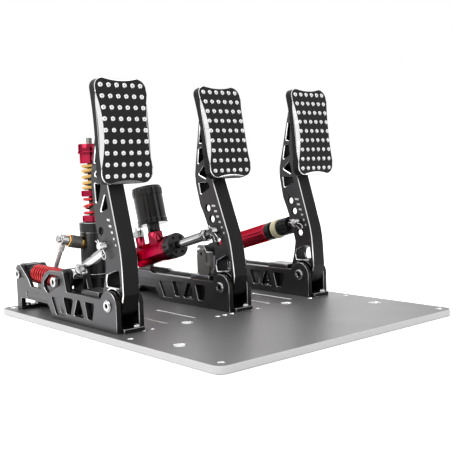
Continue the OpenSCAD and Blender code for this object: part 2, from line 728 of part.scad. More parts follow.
eye_w = arm_w - 2 * cheek_t - 2 * gap;
link_from = 14;
link_nut_af = 14.5;
link_to = link_l - 15;
ball_w = rocker_w - 2 * rocker_t - 2 * gap;
ball_r = 7.5;
module on_link() { along(clutch_x, clutch_pin_place, joint_at) children(); }
module clutch_link_body() {
    color("silver") on_link() difference() {
        hex_at(link_from + 4, link_to - link_from - 8, link_af);
        ring_at(link_from, link_to - link_from, thread_r);
    }
}
module clutch_link_upper_end() {
    color("silver") on_link() difference() {
        union() {
            rotate([0, 90, 0]) cylinder(h = eye_w, r = 6.6, center = true, $fn = 48);
            translate([-4, -4.5, 0]) cube([8, 9, link_from]);
            ring_at(0, link_from + 26, thread_r);
            hex_at(link_from, 4, link_af + 1);
        }
        rotate([0, 90, 0]) cylinder(h = 40, r = pin_r + fit, center = true, $fn = 48);
    }
}
module clutch_link_lower_end() {
    color("silver") on_link() difference() {
        union() {
            translate([0, 0, link_l]) rotate([0, 90, 0])
                cylinder(h = ball_w, r = ball_r, center = true, $fn = 48);
            translate([0, 0, link_to]) cylinder(h = 10, r = 4, $fn = 32);
            ring_at(link_to - 26, 36, thread_r);
            hex_at(link_to - 4, 4.2, link_nut_af);
            ring_at(link_to, 3, link_nut_af / 2 - 0.6);
        }
        translate([0, 0, link_l]) rotate([0, 90, 0])
            cylinder(h = 40, r = joint_pin_r + eye_play, center = true, $fn = 48);
    }
}

// Rocker: two plates on a tube, joined by the link's pin and the trunnion bolt

rocker_outline = [[-5.8, 0], [5.8, 0], [11.2, 32], [7, 39.5], [-2, 47], [-13.5, 47], [-15, 40]];
rocker_hub_r = 6;
rocker_ear_r = 6.3;
rocker_gap = rocker_w - 2 * rocker_t;
module clutch_rocker() {
    color("black") at_pedal(clutch_x) translate([0, rocker_at[0], rocker_at[1]]) difference() {
        union() {
            difference() {
                union() {
                    side(rounded(rocker_outline, 3), rocker_w);
                    cross_rod([0, 0], rocker_hub_r, -rocker_w / 2, rocker_w / 2);
                    cross_rod([trunnion_y, trunnion_h], rocker_ear_r, -rocker_w / 2, rocker_w / 2);
                    cross_rod([joint_y, joint_h], rocker_ear_r + 1.2, -rocker_w / 2, rocker_w / 2);
                }
                translate([-rocker_gap / 2, -30, 12]) cube([rocker_gap, 60, 60]);
            }
            cross_rod([joint_y, joint_h], joint_pin_r, -rocker_w / 2, rocker_w / 2);
        }
        cross_rod([trunnion_y, trunnion_h], trunnion_r, -frame_w, frame_w);
        cross_rod([0, 0], joint_pin_r + fit, -frame_w, frame_w);
    }
}
module clutch_trunnion_bolt() {
    reach = frame_w / 2 + 1;
    color("silver") at_pedal(clutch_x) {
        cross_rod(trunnion_at, trunnion_r, -reach, reach);
        for (s = [0, 1]) mirror([s, 0, 0]) difference() {
            cross_rod(trunnion_at, 6, -reach - 4.5, -reach);
            hex_socket(trunnion_at, -reach - 4.5);
        }
    }
}

// Clutch spring on its guide rod

guide_w = rocker_gap - 2 * gap;
module on_guide() { along(clutch_x, trunnion_at, rear_at) children(); }
module clutch_spring_guide() {
    color("black") on_guide() difference() {
        union() {
            rotate([0, 90, 0]) cylinder(h = guide_w, r = 7, center = true, $fn = 48);
            translate([-guide_w / 2, -5.5, 0]) cube([guide_w, 11, guide_seat_s[0] + 1]);
            ring_at(guide_seat_s[0], guide_seat_s[1] - guide_seat_s[0], clutch_spring_r);
            ring_at(guide_seat_s[0], guide_end - guide_seat_s[0], guide_rod_r);
        }
        rotate([0, 90, 0]) cylinder(h = 40, r = trunnion_r + fit, center = true, $fn = 48);
    }
}
block_w = inner_w - 2 * gap;
bore_play = 1.5;
module clutch_spring_block() {
    color("black") on_guide() difference() {
        union() {
            translate([0, 0, block_seat_s]) cylinder(h = 6, r = clutch_spring_r, $fn = 64);
            translate([-block_w / 2, -12.5, block_seat_s + 5])
                cube([block_w, 21, guide_l - block_seat_s + 2.5]);
        }
        translate([0, 0, block_seat_s - 1]) cylinder(h = 60, r = guide_rod_r + bore_play, $fn = 48);
        translate([0, 0, guide_l]) rotate([0, 90, 0])
            cylinder(h = 60, r = bolt_r + fit, center = true, $fn = 48);
    }
}
clutch_spring_l = block_seat_s - guide_seat_s[1] + 2 * spring_flat * clutch_spring_wire;
module clutch_spring() {
    line = coil(clutch_spring_r, clutch_spring_wire, clutch_spring_turns, clutch_spring_l);
    echo(clutch_spring_gap = coil_gap(line, clutch_spring_wire));
    color("red") on_guide() translate([0, 0, guide_seat_s[1] - spring_flat * clutch_spring_wire])
        spring(clutch_spring_r, clutch_spring_wire, clutch_spring_turns, clutch_spring_l);
}

// Upright spring cylinder of the brake

module on_slave() { translate([slave_x, pivot_y + slave_y, top_z]) children(); }
module slave_cylinder() {
    color("black") on_slave() difference() {
        union() {
            cylinder(h = slave_foot_h, r = slave_r + 5, $fn = 64);
            cylinder(h = slave_waist_h, r = slave_r - 3, $fn = 64);
            translate([0, 0, slave_waist_h - 4]) cylinder(h = 5, r = slave_r + 0.7, $fn = 64);
            translate([0, 0, slave_waist_h])
                cylinder(h = slave_body_h - slave_waist_h, r = slave_r, $fn = 64);
        }
        translate([0, 0, slave_foot_h + 10]) cylinder(h = slave_body_h, r = 5.5, $fn = 48);
        translate([0, 0, slave_body_h - 10]) cylinder(h = 20, r = slave_r - 3, $fn = 64);
        on_port(slave_r - 6) cylinder(h = 30, r = port_r, $fn = 48);
        on_port(slave_r - spot_depth) cylinder(h = 20, r = 8.4, $fn = 48);
    }
}
port_h = 82;
port_tilt = 14;
port_r = 4;
spot_depth = 1.2;
module on_port(out) {
    translate([0, 0, port_h]) rotate([0, -90 + port_tilt, 0]) translate([0, 0, out]) children();
}
module slave_top_ring() {
    color("black") on_slave() translate([0, 0, slave_body_h]) difference() {
        cylinder(h = slave_ring_h - slave_body_h, r = slave_r + 0.4, $fn = 64);
        translate([0, 0, -1]) cylinder(h = slave_ring_h, r = 9, $fn = 48);
    }
}
slave_rod_r = 3.5;
slide_fit = 0.1;
module slave_rod() {
    color("gray") on_slave() {
        translate([0, 0, 22]) cylinder(h = slave_stud_top - 22, r = slave_rod_r, $fn = 32);
        translate([0, 0, slave_foot_h + 10]) cylinder(h = 10, r = 5.5, $fn = 48);
        translate([0, 0, 20]) cylinder(h = 3, r = 5.3, $fn = 48);
    }
}
module slave_seat() {
    color("red") on_slave() difference() {
        union() {
            translate([0, 0, seat_start]) cylinder(h = slave_seat_h - seat_start, r = seat_r, $fn = 64);
            translate([0, 0, slave_body_h - 8])
                cylinder(h = slave_seat_h - slave_body_h + 7, r = 8.4, $fn = 48);
        }
        cylinder(h = slave_stud_top, r = slave_rod_r + slide_fit, $fn = 48);
    }
}
module coil_between(low, high, r, turns) {
    ends = spring_flat * brake_spring_wire;
    on_slave() translate([0, 0, low - ends]) spring(r, brake_spring_wire, turns, high - low + 2 * ends);
}
module slave_lower_spring() {
    echo(lower_spring_gap = coil_gap(coil(lower_spring_r, brake_spring_wire, lower_spring_turns,
        lower_spring_top - slave_seat_h), brake_spring_wire));
    color("red") coil_between(slave_seat_h, lower_spring_top, lower_spring_r, lower_spring_turns);
}
module slave_collar() {
    color("red") on_slave() translate([0, 0, lower_spring_top]) difference() {
        cylinder(h = collar_top - lower_spring_top, r = seat_r, $fn = 64);
        translate([0, 0, -1]) cylinder(h = collar_top, r = slave_rod_r + slide_fit, $fn = 48);
    }
}
module slave_upper_spring() {
    echo(upper_spring_gap = coil_gap(coil(upper_spring_r, brake_spring_wire, upper_spring_turns,
        upper_spring_top - collar_top), brake_spring_wire));
    color("goldenrod") coil_between(collar_top, upper_spring_top, upper_spring_r, upper_spring_turns);
}
module slave_preload_cap() {
    color("red") on_slave() difference() {
        union() {
            translate([0, 0, upper_spring_top])
                cylinder(h = slave_cap_top - upper_spring_top, r = seat_r, $fn = 64);
            translate([0, 0, upper_spring_top + 12]) cylinder(h = 3, r = seat_r + 2, $fn = 64);
            translate([0, 0, upper_spring_top + 15]) cylinder(h = slave_cap_top - upper_spring_top - 15,
                r = seat_r + 1.4, $fn = 64);
        }
        translate([0, 0, collar_top]) cylinder(h = slave_stud_top, r = slave_rod_r + fit, $fn = 48);
    }
}
barrel_r = 8;
banjo_at = slave_r + 26.5;
neck_r = 2.6;
module slave_fitting() {
    color("gray") on_slave() translate([0, 0, port_h]) rotate([0, -90 + port_tilt, 0]) {
        translate([0, 0, slave_r - 6]) cylinder(h = banjo_at - slave_r + 14, r = port_r, $fn = 48);
        hex_at(slave_r - spot_depth, 5 + spot_depth, 13);
        translate([0, 0, slave_r + 4]) cylinder(h = 15, r = barrel_r, $fn = 64);
        translate([0, 0, slave_r + 19.5]) cylinder(h = 2, r = barrel_r - 0.6, $fn = 64);
        translate([0, 0, banjo_at - 4.5]) cylinder(h = 9, r = 6.4, $fn = 48);
        hex_at(banjo_at + 4.5, 4.5, 9);
    }
    color("gray") translate(hose_from) along_vector(hose_out) {
        cylinder(h = hose_neck, r = neck_r, $fn = 32);
        translate([0, 0, sleeve_from]) cylinder(h = hose_neck - sleeve_from, r = hose_r + 1.2, $fn = 32);
    }
}
// Turns Z to a direction
module along_vector(v) {
    rotate([0, acos(v[2] / norm(v)), atan2(v[1], v[0])]) children();
}

// Braided hose from the upright cylinder to the master cylinder, held at both ends
hose_neck = 22;
sleeve_from = 10;
outlet_neck = 12;
hose_from = [
    slave_x - banjo_at * cos(port_tilt), pivot_y + slave_y, top_z + port_h + banjo_at * sin(port_tilt)
];
hose_out = unit([0.22, 0.76, -0.61]);
line_tilt = fall(brake_pin_at, rear_at);
outlet_t = 32;
hose_to = [
    brake_x,
    pivot_y + brake_pin_at[0] + outlet_s * cos(line_tilt) + outlet_t * sin(line_tilt),
    pivot_z + brake_pin_at[1] - outlet_s * sin(line_tilt) + outlet_t * cos(line_tilt)
];
hose_in = unit([-0.8, 0.58, -0.58 * sin(line_tilt) / cos(line_tilt)]);
hose_route = concat(
    [for (s = [0, 7, 18, 29, 39]) hose_from + (hose_neck + s) * hose_out],
    [
        [-126, 170, 52], [-117, 182, 39.5], [-105, 190.5, 29], [-88, 197.5, 20.5], [-65, 203, 16.5],
        [-45, 205, 18.5], [-31, 204, 28], [-24, 201, 42], [-21.5, 197, 56], [-19.5, 192.5, 70],
        [-15, 188.5, 81]
    ],
    [hose_to + (outlet_neck + 6.5) * hose_in, hose_to + outlet_neck * hose_in]
);
// Points between the given ones, on a smooth curve through them all
function smooth_at(p, i, t) =
    let (a = p[max(i - 1, 0)], b = p[i], c = p[i + 1], d = p[min(i + 2, len(p) - 1)])
    0.5 * (2 * b + (c - a) * t + (2 * a - 5 * b + 4 * c - d) * t * t + (3 * b - a - 3 * c + d) * t * t * t);
function smooth(p, n) = concat(
    [for (i = [0 : len(p) - 2]) for (k = [0 : n - 1]) smooth_at(p, i, k / n)],
    [p[len(p) - 1]]
);
// The first and last steps stay straight, so that the ends sit square on their necks
function hose_line() = concat(
    [hose_route[0]],
    smooth([for (i = [1 : len(hose_route) - 2]) hose_route[i]], 3),
    [hose_route[len(hose_route) - 1]]
);
module brake_hose() {
    color("lightgray") swept(hose_line(), hose_r, 10, [0.1, 0.3, 1]);
}

// Master cylinder on the brake line, from the pin to the rear bolt

module on_brake() { along(brake_x, brake_pin_at, rear_at) children(); }
module octagon_at(s, len, af) {
    translate([0, 0, s]) rotate([0, 0, 22.5]) cylinder(h = len, r = af / 2 / cos(22.5), $fn = 8);
}
module rear_eye(from, len) {
    translate([-9, -8, from]) cube([18, 16, len - from]);
    translate([0, 0, len]) rotate([0, 90, 0]) cylinder(h = inner_w - 2 * gap, r = 8, center = true, $fn = 48);
}
module up_from(s, t, len, r, faces = 48) {
    translate([0, -t, s]) rotate([90, 0, 0]) cylinder(h = len, r = r, $fn = faces);
}
module master_cylinder() {
    collar_s = master_front + master_ring_t;
    color("firebrick") on_brake() difference() {
        union() {
            octagon_at(collar_s, master_collar_t, master_af + 3);
            octagon_at(collar_s + 5, master_rear - collar_s - 5, master_af);
            rear_eye(master_rear - 2, brake_l);
            up_from(feed_s, 8, boss_top - 8, 11.2, 6);
            up_from(outlet_s, 8, boss_top - 8, 6.3);
        }
        ring_at(collar_s - 1, 50, push_rod_r + fit);
        translate([0, 0, brake_l]) rotate([0, 90, 0])
            cylinder(h = 60, r = bolt_r + fit, center = true, $fn = 48);
    }
}
module master_front_ring() {
    color("black") on_brake() difference() {
        ring_at(master_front, master_ring_t, 16.5);
        ring_at(master_front - 1, master_ring_t + 2, push_rod_r + 0.2);
        for (a = [0 : 30 : 330]) rotate([0, 0, a]) translate([17.2, 0, master_front + 3])
            cylinder(h = 20, r = 1.8, $fn = 24);
        for (a = [0 : 60 : 300]) rotate([0, 0, a]) translate([11, 0, master_front - 1])
            cylinder(h = 4, r = 1.6, $fn = 24);
    }
}
module brake_push_rod() {
    color("silver") on_brake() {
        ring_at(clevis_l, collar_depth() - clevis_l, push_rod_r);
        hex_at(rod_nut_s, 6.5, 15);
    }
}
function collar_depth() = master_front + master_ring_t + 24;
module brake_clevis() {
    color("black") on_brake() difference() {
        union() {
            rotate([0, 90, 0]) cylinder(h = eye_w, r = eye_r, center = true, $fn = 48);
            translate([-eye_w / 2, -eye_r, 0]) cube([eye_w, 2 * eye_r, clevis_l]);
            ring_at(clevis_l - 1, rod_nut_s - clevis_l + 1, 6.5);
        }
        rotate([0, 90, 0]) cylinder(h = 40, r = pin_r + eye_play, center = true, $fn = 48);
        ring_at(clevis_l, 30, push_rod_r);
    }
}
module outlet_fitting() {
    color("silver") on_brake() {
        up_from(outlet_s, boss_top, 10, 7);
        up_from(outlet_s, boss_top + 10, 4.5, 5.2, 6);
    }
    color("silver") translate(hose_to) along_vector(hose_in)
        cylinder(h = outlet_neck, r = hose_r + 0.9, $fn = 32);
}
// Way that the reservoir's flat sight strip faces
sight_turn = 248;
module reservoir() {
    color("black") on_brake() difference() {
        union() {
            up_from(feed_s, boss_top, neck_top - boss_top + 1, 8.7);
            up_from(feed_s, neck_top, reservoir_h, reservoir_r - 0.8);
            up_from(feed_s, neck_top, 7, reservoir_r);
            up_from(feed_s, neck_top + reservoir_h - 12, 9, reservoir_r);
        }
        translate([0, -neck_top - 7.01, feed_s]) rotate([90, 0, 0]) rotate([0, 0, sight_turn])
            translate([reservoir_r - 1.8, -3.2, 0]) cube([4, 6.4, reservoir_h - 19.02]);
        for (a = [0 : 30 : 330]) translate([0, -neck_top - reservoir_h + 12.5, feed_s]) rotate([90, 0, 0])
            rotate([0, 0, a]) translate([reservoir_r + 0.9, 0, 0]) cylinder(h = 10, r = 1.6, $fn = 24);
    }
}

// Position sensor behind the brake arm: bracket plate and housing on the frame's block

module brake_sensor() {
    plate = [[29, 40], [29, 53], [35, 56], [36, 64], [36, 66], [40, 73], [48, 73], [52, 66], [52, 40]];
    color("dimgray") translate([brake_x, pivot_y, top_z]) {
        translate([-9.3, 0, 0]) difference() {
            side(rounded(plate, 4.5, 4), 3.6);
            cross_rod([44, 66.5], 2.2, -4, 4);
        }
        translate([-7.6, 38, 46]) cube([12, 15, 22]);
        translate([-7.6, 36, 40]) cube([15, 17, 6.1]);
    }
}

// Throttle damper on the line from the throttle pin to the rear bolt

module on_damper() { along(throttle_x, throttle_pin_at, rear_at) children(); }
tube_end = cap_end + damper_tube_l;
module damper_rod() {
    color("gray") on_damper() difference() {
        union() {
            ring_at(rod_start, rod_collar - rod_start + 4, damper_rod_r);
            ring_at(rod_collar, 5, damper_rod_r + 2);
            rear_eye(rod_collar + 2, throttle_l);
        }
        translate([0, 0, throttle_l]) rotate([0, 90, 0])
            cylinder(h = 60, r = bolt_r + fit, center = true, $fn = 48);
    }
}
module damper_tube() {
    color("firebrick") on_damper() difference() {
        ring_at(cap_end, damper_tube_l, damper_r);
        ring_at(cap_end + 4, damper_tube_l, damper_rod_r + fit);
        for (a = [0 : 45 : 315]) rotate([0, 0, a]) translate([damper_r + 1.2, 0, cap_end + 6])
            cylinder(h = damper_tube_l - 12, r = 2.2, $fn = 24);
    }
}
module damper_end_cap() {
    color("black") on_damper() {
        ring_at(cap_start, cap_end - cap_start, damper_r);
        ring_at(knob_start - 5, cap_start - knob_start + 6, 6);
    }
}
module damper_bump_ring() {
    color("ivory") on_damper() difference() {
        rotate_extrude($fn = 64) polygon(rounded([
            [1, knob_end], [ring_r, knob_end], [ring_r, ring_end], [1, ring_end]
        ], 3.5, 5));
        ring_at(knob_end - 1, ring_end, 6 + fit);
    }
}
module damper_knob() {
    color("black") on_damper() difference() {
        ring_at(knob_start, knob_end - knob_start - gap, knob_r, 6 + fit);
        for (a = [0 : 30 : 330]) rotate([0, 0, a]) translate([knob_r + 0.6, 0, knob_start + 2])
            cylinder(h = 14, r = 1.7, $fn = 24);
    }
}
module damper_eye() {
    color("black") on_damper() difference() {
        union() {
            rotate([0, 90, 0]) cylinder(h = eye_w, r = eye_r, center = true, $fn = 48);
            translate([-eye_w / 2, -6, 0]) cube([eye_w, 12, knob_start - 5]);
        }
        rotate([0, 90, 0]) cylinder(h = 40, r = pin_r + eye_play, center = true, $fn = 48);
    }
}

base_plate();
clutch_frame();
brake_frame();
throttle_frame();
clutch_pivot_bolt();
brake_pivot_bolt();
throttle_pivot_bolt();
clutch_rear_pivots();
brake_rear_bolt();
throttle_rear_bolt();
clutch_arm();
brake_arm();
throttle_arm();
clutch_bush();
brake_bush();
throttle_bush();
clutch_pad();
brake_pad();
throttle_pad();
clutch_pad_bracket();
brake_pad_bracket();
throttle_pad_bracket();
clutch_pin();
brake_pin();
throttle_pin();
clutch_clip();
brake_clip();
throttle_clip();
clutch_link_body();
clutch_link_upper_end();
clutch_link_lower_end();
clutch_rocker_bolt();
clutch_rocker();
clutch_trunnion_bolt();
clutch_spring_guide();
clutch_spring_block();
clutch_spring();
slave_cylinder();
slave_top_ring();
slave_rod();
slave_seat();
slave_lower_spring();
slave_collar();
slave_upper_spring();
slave_preload_cap();
slave_fitting();
brake_hose();
master_cylinder();
master_front_ring();
brake_push_rod();
brake_clevis();
reservoir();
outlet_fitting();
brake_sensor();
damper_rod();
damper_tube();
damper_end_cap();
damper_bump_ring();
damper_knob();
damper_eye();
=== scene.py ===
"""Finishes, machined edges and fine fittings for a three-pedal driving set.

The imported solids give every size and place. This script welds a copy of each
one, breaks its edges as a mill or lathe would, gives its faces their finishes,
and adds what is too fine for the solids: dimpled studs, scale bars, floor
screws, window walls, round spring wire and the braid on the brake hose.
"""

import json
import logging
import math
from collections.abc import Callable
from dataclasses import dataclass, field
from enum import Enum

import bmesh
import bpy
from mathutils import Matrix, Vector

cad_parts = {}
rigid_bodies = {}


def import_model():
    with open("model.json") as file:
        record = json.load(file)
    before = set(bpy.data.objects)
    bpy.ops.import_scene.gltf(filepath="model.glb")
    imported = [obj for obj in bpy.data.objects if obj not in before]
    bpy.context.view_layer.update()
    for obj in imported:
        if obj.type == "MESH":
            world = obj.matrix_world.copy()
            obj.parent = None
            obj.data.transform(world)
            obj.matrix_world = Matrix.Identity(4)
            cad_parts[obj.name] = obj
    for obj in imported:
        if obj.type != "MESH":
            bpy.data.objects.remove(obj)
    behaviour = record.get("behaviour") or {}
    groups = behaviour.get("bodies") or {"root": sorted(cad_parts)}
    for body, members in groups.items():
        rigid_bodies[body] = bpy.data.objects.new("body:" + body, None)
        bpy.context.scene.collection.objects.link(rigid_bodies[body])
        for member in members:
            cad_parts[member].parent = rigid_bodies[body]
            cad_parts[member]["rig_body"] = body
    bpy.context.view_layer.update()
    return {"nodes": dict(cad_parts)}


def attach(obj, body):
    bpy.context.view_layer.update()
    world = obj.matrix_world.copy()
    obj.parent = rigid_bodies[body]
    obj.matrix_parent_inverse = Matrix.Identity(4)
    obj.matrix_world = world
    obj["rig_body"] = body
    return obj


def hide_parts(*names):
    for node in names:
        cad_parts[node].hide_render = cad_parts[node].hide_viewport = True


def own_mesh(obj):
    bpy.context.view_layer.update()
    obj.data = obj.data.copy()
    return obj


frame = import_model()
LOG = logging.getLogger("pedal_set")

BMesh, BMEdge, BMVert = bmesh.types.BMesh, bmesh.types.BMEdge, bmesh.types.BMVert
Point = tuple[float, float]
Triple = tuple[float, float, float]
Node, Socket, Tree = bpy.types.Node, bpy.types.NodeSocket, bpy.types.NodeTree
Material, Piece = bpy.types.Material, bpy.types.Object
Sources = dict[str | int, object]
FaceRule = Callable[[Vector, Vector], int]
MM = 0.001
MILLIMETRES = Matrix.Diagonal((MM, MM, MM, 1.0))
FULL_TURN = 2 * math.pi
SMOOTH_ANGLE = 34.0
# Solids: corners closer than WELD metres are joined, faces within FLAT_ANGLE degrees are made one, and
# edges up to SHORT_EDGE millimetres long stay sharp.
WELD, FLAT_ANGLE, SHORT_EDGE = 4e-6, 0.25, 0.06
# Springs: share of the wire ground off at each end, gap of a closed turn, steps in a turn, sides of the wire.
GRIND, CLOSED_GAP, COIL_STEPS, WIRE_SIDES = 0.12, 0.5, 24, 12

# Sizes in millimetres, as in the part's source. Y and Z pairs start at the pedals' pivot.
PLATE_TOP = 8.0
PIVOT_Y, PIVOT_Z = -21.0, 37.2
CLUTCH_X, BRAKE_X, THROTTLE_X = -152.0, 8.0, 146.0
CLUTCH_LEAN, THROTTLE_LEAN = 6.5, 4.6
REAR_AT, TRUNNION_AT = (210.5, 16.8), (111.0, 16.3)
ARM_PIN, CLUTCH_PIN = (14.3, 68.6), (20.0, 62.5)
ARM_WIDTH = 21.5
CYLINDER_X, CYLINDER_Y, CYLINDER_R = -104.0, 112.0, 16.5
PORT_HEIGHT, PORT_TILT = 82.0, 14.0


def mm(*values: float) -> Vector:
    """Turns millimetres into a vector in metres."""
    return Vector([value * MM for value in values])


def turned(degrees: float, axis: str = "X") -> Matrix:
    """A turn about one axis."""
    return Matrix.Rotation(math.radians(degrees), 4, axis)


def shifted(x: float, y: float, z: float) -> Matrix:
    """A move without a turn."""
    return Matrix.Translation(Vector((x, y, z)))


# Shader nodes


@dataclass
class Graph:
    """A node tree with short calls that add wired nodes.

    Args:
        tree: The tree to add to.
    """

    tree: Tree

    def feed(self, node: Node, sources: Sources) -> None:
        """Feeds a node's inputs.

        Args:
            node: The node.
            sources: Socket name or number to a constant or to the socket that it takes its value from.
        """
        for name, source in sources.items():
            if isinstance(source, Socket):
                self.tree.links.new(source, node.inputs[name])
            else:
                node.inputs[name].default_value = source

    def add(self, kind: str, sources: Sources | None = None, **settings: object) -> Node:
        """Adds a node, sets it and feeds its inputs.

        Args:
            kind: The node's type, without its prefix.
            sources: What feeds its inputs.
            settings: Attributes to set on it.

        Returns:
            The new node.
        """
        node = self.tree.nodes.new("ShaderNode" + kind)
        for name, value in settings.items():
            setattr(node, name, value)
        self.feed(node, sources or {})
        return node

    def math(self, operation: str, *terms: object, use_clamp: bool = False) -> Socket:
        """Adds a math node and gives its result."""
        return self.add("Math", dict(enumerate(terms)), operation=operation, use_clamp=use_clamp).outputs[0]

    def vector(self, operation: str, sources: Sources, result: str | int = 0) -> Socket:
        """Adds a vector math node and gives the named result."""
        return self.add("VectorMath", sources, operation=operation).outputs[result]

    def span(self, value: Socket, **ends: float) -> Socket:
        """Adds a map range node, whose ends are named as from_min or to_max, and gives its result."""
        named = {end.replace("_", " ").title(): number for end, number in ends.items()}
        return self.add("MapRange", {"Value": value, **named}).outputs["Result"]

    def noise(self, place: object, scale: object, detail: float, distortion: float = 0.0) -> Socket:
        """Adds a noise texture and gives its value."""
        sources = {"Vector": place, "Scale": scale, "Detail": detail, "Distortion": distortion}
        return self.add("TexNoise", sources).outputs["Fac"]

    def bump(self, strength: float, depth: float, height: object) -> Socket:
        """Adds a bump of a depth in millimetres and gives its normal."""
        sources = {"Strength": strength, "Distance": depth * MM, "Height": height}
        return self.add("Bump", sources).outputs["Normal"]

    def blend(self, share: object, first: object, second: object) -> Socket:
        """Adds a colour mix and gives its result."""
        return self.add("Mix", {0: share, 6: first, 7: second}, data_type="RGBA").outputs[2]

    def position(self) -> Socket:
        """The place on the object, in its own coordinates."""
        return self.add("TexCoord").outputs["Object"]

    def seen_by(self, *rays: str) -> Socket:
        """1 for the named kinds of ray and 0 for all others."""
        path = self.add("LightPath")
        seen = path.outputs[rays[0]]
        for ray in rays[1:]:
            seen = self.math("MAXIMUM", seen, path.outputs[ray])
        return seen

    def group(self, name: str, sources: Sources) -> Node:
        """Places a shared group, which is made the first time it is needed."""
        tree = bpy.data.node_groups.get(name) or SHARED_GROUPS[name]()
        return self.add("Group", sources, node_tree=tree, label=name)


def bare_graph(owner: Material | bpy.types.World) -> Graph:
    """Empties a material's or a world's node tree and hands it out."""
    owner.use_nodes = True
    owner.node_tree.nodes.clear()
    return Graph(owner.node_tree)


def start_group(name: str, inputs: dict[str, object], outputs: list[str]) -> tuple[
        Graph, bpy.types.NodeOutputs, Node]:
    """Starts a shader group with named sockets.

    Args:
        name: The group's name.
        inputs: Socket name to starting value: a number, a vector of three or a colour of four.
        outputs: Socket names. The one named Color holds a colour and the others hold numbers.

    Returns:
        The graph, the sockets that its inputs come in by, and its output node.
    """
    tree = bpy.data.node_groups.new(name, "ShaderNodeTree")
    kinds = {3: "NodeSocketVector", 4: "NodeSocketColor"}
    for label, value in inputs.items():
        kind = "NodeSocketFloat" if isinstance(value, float) else kinds[len(value)]
        tree.interface.new_socket(name=label, in_out="INPUT", socket_type=kind).default_value = value
    for label in outputs:
        kind = "NodeSocketColor" if label == "Color" else "NodeSocketFloat"
        tree.interface.new_socket(name=label, in_out="OUTPUT", socket_type=kind)
    return Graph(tree), tree.nodes.new("NodeGroupInput").outputs, tree.nodes.new("NodeGroupOutput")


MID_GREY = (0.5, 0.5, 0.5, 1.0)


def surface_grain_group() -> Tree:
    """Fine tooth of a blasted, milled, turned or moulded surface.

    Returns:
        A group that puts out a colour, a roughness and a height.
    """
    graph, given, end = start_group("surface_grain", {
        "Color": MID_GREY, "Roughness": 0.4, "Scale": 900.0, "Run": (1.0, 1.0, 1.0),
        "Tone": 0.1, "Tooth": 0.1,
    }, ["Color", "Roughness", "Height"])
    place = graph.position()
    run = graph.vector("MULTIPLY", {0: place, 1: given["Run"]})
    fine, broad = graph.noise(run, given["Scale"], detail=2.0), graph.noise(place, scale=22.0, detail=3.0)
    centred = graph.math("SUBTRACT", graph.math("ADD", fine, broad), 1.0)
    gain = graph.math("ADD", graph.math("MULTIPLY", centred, given["Tone"]), 1.0)
    tooth = graph.math("MULTIPLY", centred, given["Tooth"])
    graph.feed(end, {
        "Color": graph.vector("SCALE", {0: given["Color"], "Scale": gain}),
        "Roughness": graph.math("ADD", tooth, given["Roughness"], use_clamp=True),
        "Height": fine,
    })
    return graph.tree


def edge_wear_group() -> Tree:
    """Paint or anodising rubbed thin on the corners.

    Returns:
        A group that mixes a worn colour in along the edges.
    """
    graph, given, end = start_group("edge_wear", {
        "Color": MID_GREY, "Worn Color": (0.8, 0.8, 0.8, 1.0), "Roughness": 0.4,
        "Width": 0.0004, "Amount": 0.4,
    }, ["Color", "Roughness", "Mask"])
    rounded = graph.add("Bevel", {"Radius": given["Width"]}, samples=4).outputs["Normal"]
    facing = graph.add("NewGeometry").outputs["Normal"]
    patch = graph.noise(graph.position(), scale=160.0, detail=4.0)
    match = graph.vector("DOT_PRODUCT", {0: rounded, 1: facing}, "Value")
    corner = graph.span(match, from_min=0.995, from_max=0.88)
    broken = graph.span(patch, from_min=0.35, from_max=0.65, to_min=0.35)
    share = graph.math("MULTIPLY", graph.math("MULTIPLY", corner, broken), given["Amount"], use_clamp=True)
    smoothing = -0.12
    graph.feed(end, {
        "Color": graph.blend(share, given["Color"], given["Worn Color"]),
        "Roughness": graph.math("MULTIPLY_ADD", share, smoothing, given["Roughness"]),
        "Mask": share,
    })
    return graph.tree


def dust_film_group() -> Tree:
    """Faint dust and finger smears that gather in broad soft patches.

    Returns:
        A group that lifts the colour and the roughness a little.
    """
    graph, given, end = start_group("dust_film", {"Color": MID_GREY, "Roughness": 0.4, "Amount": 0.05},
                                    ["Color", "Roughness"])
    smear = graph.noise(graph.position(), scale=9.0, detail=5.0, distortion=0.6)
    patch = graph.span(smear, from_min=0.42, from_max=0.7)
    share = graph.math("MULTIPLY", patch, given["Amount"], use_clamp=True)
    dust_colour, dulling = (0.55, 0.54, 0.52, 1.0), 0.6
    graph.feed(end, {
        "Color": graph.blend(share, given["Color"], dust_colour),
        "Roughness": graph.math("MULTIPLY_ADD", share, dulling, given["Roughness"], use_clamp=True),
    })
    return graph.tree


def wire_braid_group() -> Tree:
    """Steel wires plaited round a hose, on the hose's own UV map.

    Returns:
        A group that puts out a wire colour and a height.
    """
    graph, given, end = start_group("wire_braid", {
        "Wire Color": (0.7, 0.7, 0.7, 1.0), "Gap Color": (0.3, 0.3, 0.3, 1.0), "Turns": 6.0,
    }, ["Color", "Height"])
    place = graph.add("SeparateXYZ", {0: graph.add("UVMap", uv_map="along").outputs["UV"]}).outputs
    waves = []
    for direction in ("ADD", "SUBTRACT"):
        turns = graph.math("MULTIPLY", graph.math(direction, place["X"], place["Y"]), given["Turns"])
        waves.append(graph.math("ABSOLUTE", graph.math("SINE", graph.math("MULTIPLY", turns, FULL_TURN))))
    height = graph.math("MULTIPLY", *waves)
    wire = graph.span(height, from_min=0.03, from_max=0.35)
    graph.feed(end, {"Color": graph.blend(wire, given["Gap Color"], given["Wire Color"]), "Height": height})
    return graph.tree


SHARED_GROUPS: dict[str, Callable[[], Tree]] = {
    "surface_grain": surface_grain_group,
    "edge_wear": edge_wear_group,
    "dust_film": dust_film_group,
    "wire_braid": wire_braid_group,
}


# Camera and studio


